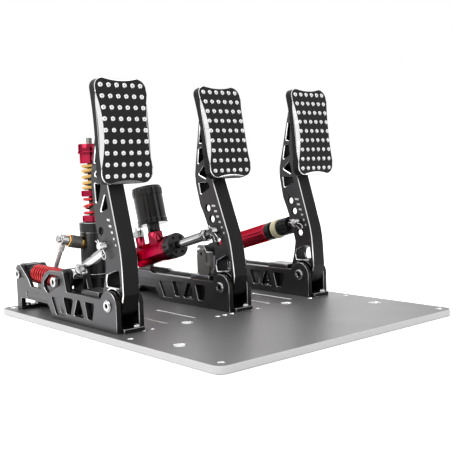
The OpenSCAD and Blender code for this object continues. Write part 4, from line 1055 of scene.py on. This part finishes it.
@dataclass
class PedalArm:
    """A pedal arm with silver broken edges and a scale of bars.

    Args:
        name: Which pedal it belongs to.
        x: The pedal's place across the plate.
        lean: Degrees that it leans towards the driver.
        windows: Outlines of the windows, from the pivot, the lowest one first.
        holes: Places of the adjusting holes, whose edges stay dark.
        marks: Place of the first bar and the step to the next one.
        bars: Lengths of the bars, from the top.
        closed: Whether the windows above the lowest one are blind.
        chamfer: Width of the broken edges.
        relief_r: Radius of the hub's shallow relief.
        hole_edge: Radius round an adjusting hole inside which the edges stay dark.
        cheek: Thickness of the arm's cheeks.
        wall: Thickness of the windows' walls.
    """

    name: str
    x: float
    lean: float
    windows: list[list[Point]]
    holes: list[Point]
    marks: tuple[Point, Point]
    bars: list[float]
    closed: bool = False
    chamfer: float = 0.8
    relief_r: float = 18.0
    hole_edge: float = 5.4
    cheek: float = 3.5
    wall: float = 1.2

    def build(self) -> None:
        """Makes the arm, its bush, the walls of its windows, its bands and its bars."""
        place = pedal_matrix(self.x, self.lean)
        MachinedSolid(self.name + "_arm", [ARM_FLANK_SHADED, SHADED_FACE_BLACK, CUT_SILVER], self.finish_of, place,
                      self.chamfer, self.edge_finish, self.on_relief).build()
        machine(self.name + "_bush", BUSH_BRONZE, 0.3)
        for i, window in enumerate(self.windows):
            # The window walls take the painted-shade black of the arm's front.
            bm = self.window_wall(window, self.closed and i > 0)
            self.add(place, f"window_wall_{i + 1}", bm, SHADED_FACE_BLACK)
        for side, label in ((-1, "left"), (1, "right")):
            self.add(place, f"hub_band_{label}", self.hub_band(side), CUT_SILVER)
        for i, length in enumerate(self.bars):
            bm = bmesh.new()
            bmesh.ops.create_cube(bm, size=1.0)
            self.add(place @ self.bar_matrix(i, length), f"bar_{i + 1}", bm, MARK_SILVER)

    def add(self, place: Matrix, label: str, bm: BMesh, finish: Finish) -> None:
        """Sets a small piece on the arm.

        Args:
            place: From the piece's own measures to the row frame.
            label: The piece's name, without the pedal's.
            bm: Its mesh.
            finish: Its finish.
        """
        bmesh.ops.transform(bm, matrix=place, verts=bm.verts)
        new_piece(f"{self.name}_{label}", bm, finish, self.name + "_arm")

    def hub_band(self, side: int) -> BMesh:
        """Draws the bright cut band over the hub's relief on one flank.

        Args:
            side: -1 for the left flank and 1 for the right one.

        Returns:
            The closed band.
        """
        bm = bmesh.new()
        deep, proud, inner, outer = -0.3, 0.08, self.relief_r - 0.1, self.relief_r + 1.2
        section = ((deep, inner), (proud, inner), (proud, outer), (deep, outer))
        first, edges = draw_loop(bm, [(side * (ARM_WIDTH / 2 + out), 0.0, reach) for out, reach in section])
        start, swept, steps = math.radians(-40.0), math.radians(85.0), 18
        bmesh.ops.rotate(bm, cent=(0, 0, 0), matrix=Matrix.Rotation(start, 3, "X"), verts=first)
        grown = bmesh.ops.spin(bm, geom=[*first, *edges], cent=(0, 0, 0), axis=(1, 0, 0), angle=swept,
                               steps=steps, use_merge=False, use_duplicate=False)
        for end in (first, verts_of(grown["geom_last"])):
            bmesh.ops.contextual_create(bm, geom=end)
        return bm

    def window_wall(self, window: list[Point], blind: bool) -> BMesh:
        """Joins the two cheeks round a window, as in an arm milled from one bar.

        Args:
            window: The window's outline.
            blind: Whether its far end is closed too.

        Returns:
            The wall.
        """
        half = ARM_WIDTH / 2 - self.cheek
        bm = bmesh.new()
        _, edges = draw_loop(bm, [(-half, y, z) for y, z in window])
        far = verts_of(bmesh.ops.extrude_edge_only(bm, edges=edges)["geom"])
        bmesh.ops.translate(bm, vec=(2 * half, 0.0, 0.0), verts=far)
        if blind:
            bmesh.ops.contextual_create(bm, geom=far)
        middle = Vector((0.0, *(sum(values) / len(window) for values in zip(*window))))
        bmesh.ops.recalc_face_normals(bm, faces=bm.faces[:])
        if sum(f.normal.dot(f.calc_center_median() - middle) for f in bm.faces) > 0.0:
            bmesh.ops.reverse_faces(bm, faces=bm.faces[:])
        bmesh.ops.solidify(bm, geom=bm.faces[:], thickness=self.wall)
        return bm

    def bar_matrix(self, number: int, length: float) -> Matrix:
        """Where a bar of the scale lies on the flank and how large it is."""
        (y, z), (step_y, step_z) = self.marks
        thickness, height, out = 0.12, 2.4, 0.03
        place = shifted(-ARM_WIDTH / 2 - out, y + step_y * number, z + step_z * number)
        return place @ Matrix.Diagonal((thickness, length, height, 1.0))

    def on_relief(self, spot: Vector) -> bool:
        """Whether a place lies on the wall of the hub's shallow relief or in the bush's hole."""
        reach, slack, bush_r = math.hypot(spot.y, spot.z), 0.5, 9.0
        return abs(reach - self.relief_r) < slack or reach < bush_r

    def finish_of(self, centre: Vector, normal: Vector) -> int:
        """Picks satin flanks and near-black front and edge faces, both darkened as painted shade, and a
        silver wall round the hub's relief.

        Args:
            centre: Middle of the face, from the pivot.
            normal: Its direction.

        Returns:
            The finish's number.
        """
        sideways, slack = 0.5, 0.3
        if abs(normal.x) > sideways:
            return 0
        return 2 if abs(math.hypot(centre.y, centre.z) - self.relief_r) < slack else 1

    def edge_finish(self, centre: Vector, _: Vector) -> int:
        """Silver broken edges, but ones in the painted-shade black of the front round the adjusting holes."""
        nearest = min(math.hypot(centre.y - y, centre.z - z) for y, z in self.holes)
        return 1 if nearest < self.hole_edge else 2


@dataclass
class FootPad:
    """A bowed pad with polished scoops and dimpled studs.

    Args:
        name: Which pedal it belongs to.
        x: The pedal's place across the plate.
        lean: Degrees that the arm leans towards the driver.
        middle: Y and Z of the pad's middle, from the pivot.
        pad_lean: Degrees that the pad leans back from the arm.
        bow: Radius of the bowed face.
        chamfer: Width of the broken edges.
        pitch: Steps between the studs, across and up.
        stud_r: Radius of a stud's top.
        stud_grow: How much larger the studs' radius is made.
        dimple_r: Radius of a dimple.
        dimple: Its depth.
        slack: Distance from the face within which a place belongs to it.
    """

    name: str
    x: float
    lean: float
    middle: Point = (-0.5, 189.4)
    pad_lean: float = 10.8
    bow: float = 340.0
    chamfer: float = 0.6
    pitch: Point = (10.0, 12.0)
    stud_r: float = 2.3
    stud_grow: float = 0.45
    dimple_r: float = 1.15
    dimple: float = 0.4
    slack: float = 0.3

    def own_frame(self) -> Matrix:
        """The pad's own frame: Y is depth behind its face and Z runs up it."""
        return pedal_matrix(self.x, self.lean) @ shifted(0.0, *self.middle) @ turned(-self.pad_lean)

    def build(self) -> None:
        """Makes the pad and its bracket."""
        finishes = [PAD_BLACK, CUT_SILVER, STUD_STEEL, STUD_DIMPLE_SHADE]
        pad = MachinedSolid(self.name + "_pad", finishes, self.finish_of, self.own_frame(), self.chamfer,
                            self.rim_finish, sharp=60.0).build(self.shape_studs)
        self.true_bow(pad.data)
        MachinedSolid(self.name + "_pad_bracket", [FLANK_BLACK, SHADED_FACE_BLACK], flank_or_shaded_face).build()

    def proud(self, spot: Vector) -> float:
        """How far a place in the pad's frame stands over the bowed face."""
        return self.bow - math.sqrt(self.bow * self.bow - spot.z * spot.z) - spot.y

    def rim_finish(self, centre: Vector, _: Vector) -> int:
        """Silver on the rim and steel on the studs' edges."""
        return 2 if self.proud(centre) > self.slack else 1

    def finish_of(self, centre: Vector, normal: Vector) -> int:
        """Picks black faces, silver scoops and steel studs.

        Args:
            centre: Middle of the face, in the pad's frame.
            normal: Its direction.

        Returns:
            The finish's number.
        """
        if self.proud(centre) > self.slack:
            return 2
        least, largest = 0.25, 0.93
        return 1 if least < -normal.y < largest else 0

    def true_bow(self, mesh: bpy.types.Mesh) -> None:
        """Gives the facets of the bowed face the true cylinder's normals.

        Args:
            mesh: The finished pad.
        """
        place = self.own_frame()
        back, turn = place.inverted(), place.to_3x3().normalized()
        normals, least = [Vector(corner.vector) for corner in mesh.corner_normals], 0.94
        for face in mesh.polygons:
            level = abs(self.proud(back @ face.center)) < self.slack
            if face.material_index == 0 and level and (turn.transposed() @ face.normal).y < -least:
                for loop in face.loop_indices:
                    z = (back @ mesh.vertices[mesh.loops[loop].vertex_index].co).z
                    lean = math.asin(z / self.bow)
                    normals[loop] = (turn @ Vector((0.0, -math.cos(lean), math.sin(lean)))).normalized()
        mesh.normals_split_custom_set(normals)

    def shape_studs(self, bm: BMesh) -> None:
        """Widens the studs, sinks a dimple in the top of each and paints shade in it.

        Args:
            bm: The pad's mesh.
        """
        back = self.own_frame().inverted()
        self.widen_studs(bm, back)
        top_height, land, slope = 0.8, self.stud_r + self.stud_grow - self.dimple_r, 0.5
        tops = [f for f in bm.faces if f.material_index == 2
                and self.proud(back @ f.calc_center_median()) > top_height]
        for width, depth in ((land, 0.0), (slope, self.dimple)):
            bmesh.ops.inset_individual(bm, faces=tops, thickness=width * MM, depth=-depth * MM,
                                       use_even_offset=True)
        # The floor of each dimple gets the painted shade.
        for face in tops:
            face.material_index = 3

    def widen_studs(self, bm: BMesh, back: Matrix) -> None:
        """Spreads the foot of each stud to the width of its washer-like head.

        Args:
            bm: The pad's mesh.
            back: From the row frame to the pad's frame.
        """
        place = self.own_frame()
        across, up = self.pitch
        last_column, last_row, stud_mid, least, largest = 2.5, 4, 0.5, 1.8, 2.8
        for vert in bm.verts:
            spot = back @ vert.co
            turn = math.asin(max(-1.0, min(1.0, spot.z / (self.bow + stud_mid))))
            row = round(turn * self.bow / up)
            column = round(spot.x / across - 0.5) + 0.5
            if abs(row) > last_row or abs(column) > last_column or self.proud(spot) < -self.slack:
                continue
            axis = math.asin(row * up / self.bow)
            side, rise = spot.x - column * across, (turn - axis) * self.bow
            reach = math.hypot(side, rise)
            if least < reach < largest:
                grow = self.stud_grow / reach
                spot += Vector((side, rise * math.sin(axis), rise * math.cos(axis))) * grow
                vert.co = place @ spot


@dataclass
class SpringWire:
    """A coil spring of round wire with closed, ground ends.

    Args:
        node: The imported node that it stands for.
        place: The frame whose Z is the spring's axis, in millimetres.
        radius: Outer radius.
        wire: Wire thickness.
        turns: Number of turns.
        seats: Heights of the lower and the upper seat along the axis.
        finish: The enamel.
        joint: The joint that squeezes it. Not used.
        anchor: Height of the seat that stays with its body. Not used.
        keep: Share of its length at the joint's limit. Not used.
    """

    node: str
    place: Matrix
    radius: float
    wire: float
    turns: int
    seats: Point
    finish: Finish
    joint: str
    anchor: float
    keep: float

    def build(self) -> None:
        """Winds the wire and grinds its ends."""
        ground = GRIND * self.wire
        low, high = self.seats[0] - ground, self.seats[1] + ground
        length = high - low
        bm = self.wound(length)
        for height, side in ((ground, -1.0), (length - ground, 1.0)):
            cut = bmesh.ops.bisect_plane(bm, geom=bm.verts[:] + bm.edges[:] + bm.faces[:], dist=1e-5,
                                         plane_co=(0, 0, height), plane_no=(0, 0, side), clear_outer=True)
            rim = [g for g in cut["geom_cut"] if isinstance(g, BMEdge)]
            bmesh.ops.holes_fill(bm, edges=rim, sides=0)
        bmesh.ops.transform(bm, matrix=self.place @ shifted(0.0, 0.0, low), verts=bm.verts)
        piece = new_piece(self.node + "_wire", bm, self.finish, self.node, 50.0, replace=True)
        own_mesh(piece)

    def wound(self, length: float) -> BMesh:
        """Winds the wire: a closed turn, the open ones and a closed turn.

        Args:
            length: The spring's length before its ends are ground.

        Returns:
            The closed wire.
        """
        closed = self.wire + CLOSED_GAP
        open_pitch = (length - self.wire - 2 * closed) / (self.turns - 2)
        bm = bmesh.new()
        bmesh.ops.create_circle(bm, cap_ends=False, radius=self.wire / 2, segments=WIRE_SIDES)
        bmesh.ops.rotate(bm, cent=(0, 0, 0), matrix=Matrix.Rotation(math.pi / 2, 3, "X"), verts=bm.verts)
        bmesh.ops.translate(bm, vec=(self.radius - self.wire / 2, 0.0, self.wire / 2), verts=bm.verts)
        geom, first = bm.verts[:] + bm.edges[:], bm.verts[:]
        for pitch, turns in ((closed, 1), (open_pitch, self.turns - 2), (closed, 1)):
            geom = bmesh.ops.spin(bm, geom=geom, cent=(0, 0, 0), axis=(0, 0, 1), angle=FULL_TURN * turns,
                                  dvec=(0, 0, pitch / COIL_STEPS), steps=COIL_STEPS * turns, use_merge=False,
                                  use_duplicate=False)["geom_last"]
        for end in (first, verts_of(geom)):
            bmesh.ops.contextual_create(bm, geom=end)
        bmesh.ops.remove_doubles(bm, verts=bm.verts[:], dist=1e-4)
        return bm


@dataclass
class HairpinClip:
    """A bent wire clip through the tip of a clevis pin.

    Args:
        name: Which pedal it belongs to.
        x: The pedal's place across the plate.
        lean: Degrees that the arm leans towards the driver.
        pin: Y and Z of the pin.
        turn: Degrees that the clip is turned about the pin.
        out: Its place across from the arm's middle.
        wire: Radius of its wire.
    """

    name: str
    x: float
    lean: float
    pin: Point
    turn: float
    out: float = -ARM_WIDTH / 2 - 4.5
    wire: float = 0.75

    def build(self) -> None:
        """Bends the wire and sets it in the pin."""
        bend_r, bend_z, hug_r = 3.4, -11.5, 6.2
        leg = [(0.0, z) for z in (9.0, 3.0, -3.0, -9.0)]
        bend, hug = arc(bend_r, 180, 405, 45, (bend_r, bend_z)), arc(hug_r, -50, 50, 25)
        flat = [*leg, *bend, *hug, (3.2, 8.0), (4.6, 11.0)]
        place = pedal_matrix(self.x, self.lean) @ shifted(self.out, *self.pin) @ turned(self.turn)
        points = [place @ Vector((0.0, y, z)) for y, z in flat]
        bm = sweep(smooth_path(points, 4), self.wire * MM, 12, Vector((1.0, 0.0, 0.0)))
        new_piece(self.name + "_clip_wire", bm, BRIGHT_STEEL, self.name + "_clip", 60.0, replace=True)


def build_clutch_linkage() -> None:
    """Makes the chrome link, the rocker, and the red spring on its guide."""
    machine("clutch_link_body clutch_link_lower_end", BRIGHT_STEEL, 0.3)
    machine("clutch_link_upper_end", FORK_STEEL, 0.4, CUT_SILVER)
    machine_bolt("clutch_trunnion_bolt", CLUTCH_X, TRUNNION_AT, 0.4)
    machine_bolt("clutch_rear_pivots", CLUTCH_X, REAR_AT, 0.4)
    machine("clutch_rocker clutch_rocker_bolt clutch_spring_guide", BLACK_ANODISED, 0.3)
    machine("clutch_spring_block", BLACK_ANODISED, 0.8)
    guide, seats = line_matrix(CLUTCH_X, TRUNNION_AT, REAR_AT), (13.0, 81.0)
    SpringWire("clutch_spring", guide, 12.1, 2.7, 12, seats, SPRING_RED, "clutch_pedal_pivot", seats[0],
               keep=0.732).build()


def build_spring_cylinder() -> None:
    """Makes the upright cylinder, its seats, its two springs and its fitting."""
    machine("slave_cylinder slave_top_ring", BLACK_ANODISED, 0.5, FRAME_EDGE)
    machine("slave_rod", ROD_STEEL, 0.4)
    machine("slave_seat slave_collar slave_preload_cap", RED_ANODISED, 0.5)
    own = Matrix.Translation(mm(CYLINDER_X, CYLINDER_Y, PLATE_TOP)) @ MILLIMETRES
    wire, lower, upper = 3.7, (119.5, 143.4), (150.7, 184.5)
    SpringWire("slave_lower_spring", own, 11.2, wire, 3, lower, SPRING_RED, "brake_pedal_pivot", lower[0],
               keep=0.9).build()
    SpringWire("slave_upper_spring", own, 11.6, wire, 5, upper, SPRING_GOLD, "brake_pedal_pivot", upper[1],
               keep=0.93).build()
    port = own @ shifted(0.0, 0.0, PORT_HEIGHT) @ turned(PORT_TILT - 90, "Y")
    finishes = [GOLD_WASHER, BARREL_GREY, BRIGHT_STEEL, NECK_STEEL]
    MachinedSolid("slave_fitting", finishes, fitting_rule, port, 0.4).build()


def fitting_rule(centre: Vector, _: Vector) -> int:
    """Gold nut and washer, grey barrel, bright banjo and neck, by their reach from the cylinder."""
    nut_end, washer_start, washer_end, neck = 4.05, 19.05, 21.6, 8.7
    out = centre.z - CYLINDER_R
    if math.hypot(centre.x, centre.y) > neck:
        return 3
    if out > washer_end:
        return 2
    return 0 if out < nut_end or out > washer_start else 1


@dataclass
class BrakeHose:
    """The braided hose from the spring cylinder to the master cylinder.

    Args:
        radius: The hose's radius.
        sleeve_wall: Thickness of the crimped sleeve on its far end.
        sleeve_points: Points of the path that the sleeve covers.
        up: A direction that the hose never takes.
        middle: The free stretch, as listed points.
    """

    radius: float = 3.0
    sleeve_wall: float = 0.9
    sleeve_points: int = 14
    up: Triple = (0.1, 0.3, 1.0)
    middle: tuple[Triple, ...] = (
        (-126, 170, 52), (-117, 182, 39.5), (-105, 190.5, 29), (-88, 197.5, 20.5), (-65, 203, 16.5),
        (-45, 205, 18.5), (-31, 204, 28), (-24, 201, 42), (-21.5, 197, 56), (-19.5, 192.5, 70),
        (-15, 188.5, 81))

    def build(self) -> None:
        """Draws the braid along the hose and crimps a sleeve on its far end."""
        path = smooth_path([point * MM for point in self.route()], 8)
        up = Vector(self.up).normalized()
        bm = sweep(path, self.radius * MM, 20, up)
        new_piece("brake_hose_braid", bm, HOSE_BRAID, "brake_hose", 60.0, replace=True)
        bm = sweep(path[-self.sleeve_points:], (self.radius + self.sleeve_wall) * MM, 24, up)
        new_piece("brake_hose_sleeve", bm, BRIGHT_STEEL, "brake_hose", 40.0)

    def route(self) -> list[Vector]:
        """The hose's route, in millimetres, as in the part's source."""
        banjo, along, over = 26.5, 178.5, 32.0
        reach, tilt = CYLINDER_R + banjo, math.radians(PORT_TILT)
        start = Vector((CYLINDER_X - reach * math.cos(tilt), CYLINDER_Y,
                        PLATE_TOP + PORT_HEIGHT + reach * math.sin(tilt)))
        out = Vector((0.22, 0.76, -0.61)).normalized()
        fall = math.atan2(ARM_PIN[1] - REAR_AT[1], REAR_AT[0] - ARM_PIN[0])
        end = Vector((BRAKE_X, PIVOT_Y + ARM_PIN[0] + along * math.cos(fall) + over * math.sin(fall),
                      PIVOT_Z + ARM_PIN[1] - along * math.sin(fall) + over * math.cos(fall)))
        into = Vector((-0.8, 0.58, -0.58 * math.tan(fall))).normalized()
        first = [start + step * out for step in (22.0, 29.0, 40.0, 51.0, 61.0)]
        last = [end + step * into for step in (18.5, 12.0)]
        return [*first, *(Vector(point) for point in self.middle), *last]


def build_brake_line() -> None:
    """Makes the push rod with its stout sleeve, the master cylinder, the reservoir and the sensor."""
    nut_end, ring_face, stroke, radius, chamfer = 36.5, 94.0, 10.6, 6.3, 0.6
    low, high = nut_end, ring_face - stroke
    bm = spun([(0.0, low), (radius - chamfer, low), (radius, low + chamfer), (radius, high - chamfer),
               (radius - chamfer, high), (0.0, high)])
    bmesh.ops.transform(bm, matrix=line_matrix(BRAKE_X, ARM_PIN, REAR_AT), verts=bm.verts)
    new_piece("brake_rod_sleeve", bm, BRIGHT_STEEL, "brake_push_rod")
    machine("master_cylinder", RED_ANODISED, 0.5)
    machine("master_front_ring", BLACK_ANODISED, 0.5)
    machine("brake_push_rod", BRIGHT_STEEL, 0.3)
    machine("brake_clevis", FORK_STEEL, 0.4, CUT_SILVER)
    machine("reservoir", GLOSS_BLACK, 0.4)
    machine("outlet_fitting", BRIGHT_STEEL, 0.3)
    machine("brake_sensor", BARREL_GREY, 0.4)


def build_damper() -> None:
    """Makes the throttle's damper line."""
    machine("damper_tube", TUBE_RED, 0.5)
    machine("damper_rod", BLACK_ANODISED, 0.4)
    machine("damper_end_cap damper_knob damper_eye", BLACK_ANODISED, 0.5)
    machine("damper_bump_ring", CREAM_RUBBER, 0.0)


def build_fasteners() -> None:
    """Makes each pedal's bolts, pin and clip."""
    rows = (("clutch", CLUTCH_X, CLUTCH_LEAN, CLUTCH_PIN, -50.0), ("brake", BRAKE_X, 0.0, ARM_PIN, -50.0),
            ("throttle", THROTTLE_X, THROTTLE_LEAN, ARM_PIN, -80.0))
    for name, x, lean, pin, clip_turn in rows:
        machine_bolt(name + "_pivot_bolt", x, (0.0, 0.0))
        machine(name + "_pin", BRIGHT_STEEL, 0.4)
        HairpinClip(name, x, lean, pin, clip_turn).build()
    machine_bolt("brake_rear_bolt", BRAKE_X, REAR_AT)
    machine_bolt("throttle_rear_bolt", THROTTLE_X, REAR_AT)


LOW_WINDOW = [
    (14.0, 31.0), (-3.0, 38.8), (-9.0, 39.5), (-12.4, 24.0), (-9.3, 20.6), (13.5, 18.0), (15.2, 24.5),
]
TOP_WINDOWS = [
    [(45.0, 149.5), (42.4, 169.3), (35.9, 170.4), (33.0, 157.0)],
    [(41.0, 176.0), (34.5, 176.0), (34.0, 186.5), (39.6, 186.5)],
]
ARM_WINDOWS = [
    LOW_WINDOW,
    [(44.2, 127.0), (26.8, 127.5), (23.0, 121.5), (40.8, 112.5)],
    [(44.6, 137.5), (33.0, 148.5), (27.2, 131.0)],
    *TOP_WINDOWS,
]
CLUTCH_WINDOWS = [
    LOW_WINDOW,
    [(30.3, 98.0), (15.6, 104.4), (21.6, 120.5)],
    [(43.8, 128.6), (30.6, 128.1), (34.5, 112.0), (39.0, 105.3)],
    [(44.6, 137.5), (33.0, 148.5), (27.2, 133.0)],
    *TOP_WINDOWS,
]
ARM_HOLES = [(28.0, 95.6), (20.6, 82.3), ARM_PIN, (8.7, 54.8)]
CLUTCH_HOLES = [(28.0, 77.5), CLUTCH_PIN]
ARM_MARKS = ((16.5, 98.7), (-3.55, -6.5))
CLUTCH_MARKS = ((13.7, 92.0), (-3.9, -6.3))
BAR_LENGTHS = [6.5, 5.5, 5.0, 3.6, 2.8, 2.2]


def main() -> None:
    """Builds the set, sub-assembly by sub-assembly."""
    logging.basicConfig(level=logging.INFO, format="%(message)s")
    StudioCamera().build()
    Studio().build()
    BasePlate().build()
    arms = (
        PedalArm("clutch", CLUTCH_X, CLUTCH_LEAN, CLUTCH_WINDOWS, CLUTCH_HOLES, CLUTCH_MARKS, BAR_LENGTHS[1:],
                 closed=True),
        PedalArm("brake", BRAKE_X, 0.0, ARM_WINDOWS, ARM_HOLES, ARM_MARKS, BAR_LENGTHS),
        PedalArm("throttle", THROTTLE_X, THROTTLE_LEAN, ARM_WINDOWS, ARM_HOLES, ARM_MARKS, BAR_LENGTHS),
    )
    for arm in arms:
        PedalFrame(arm.name, arm.x).build()
        arm.build()
        FootPad(arm.name, arm.x, arm.lean).build()
    build_fasteners()
    build_clutch_linkage()
    build_spring_cylinder()
    BrakeHose().build()
    build_brake_line()
    build_damper()


if __name__ == "__main__":
    main()
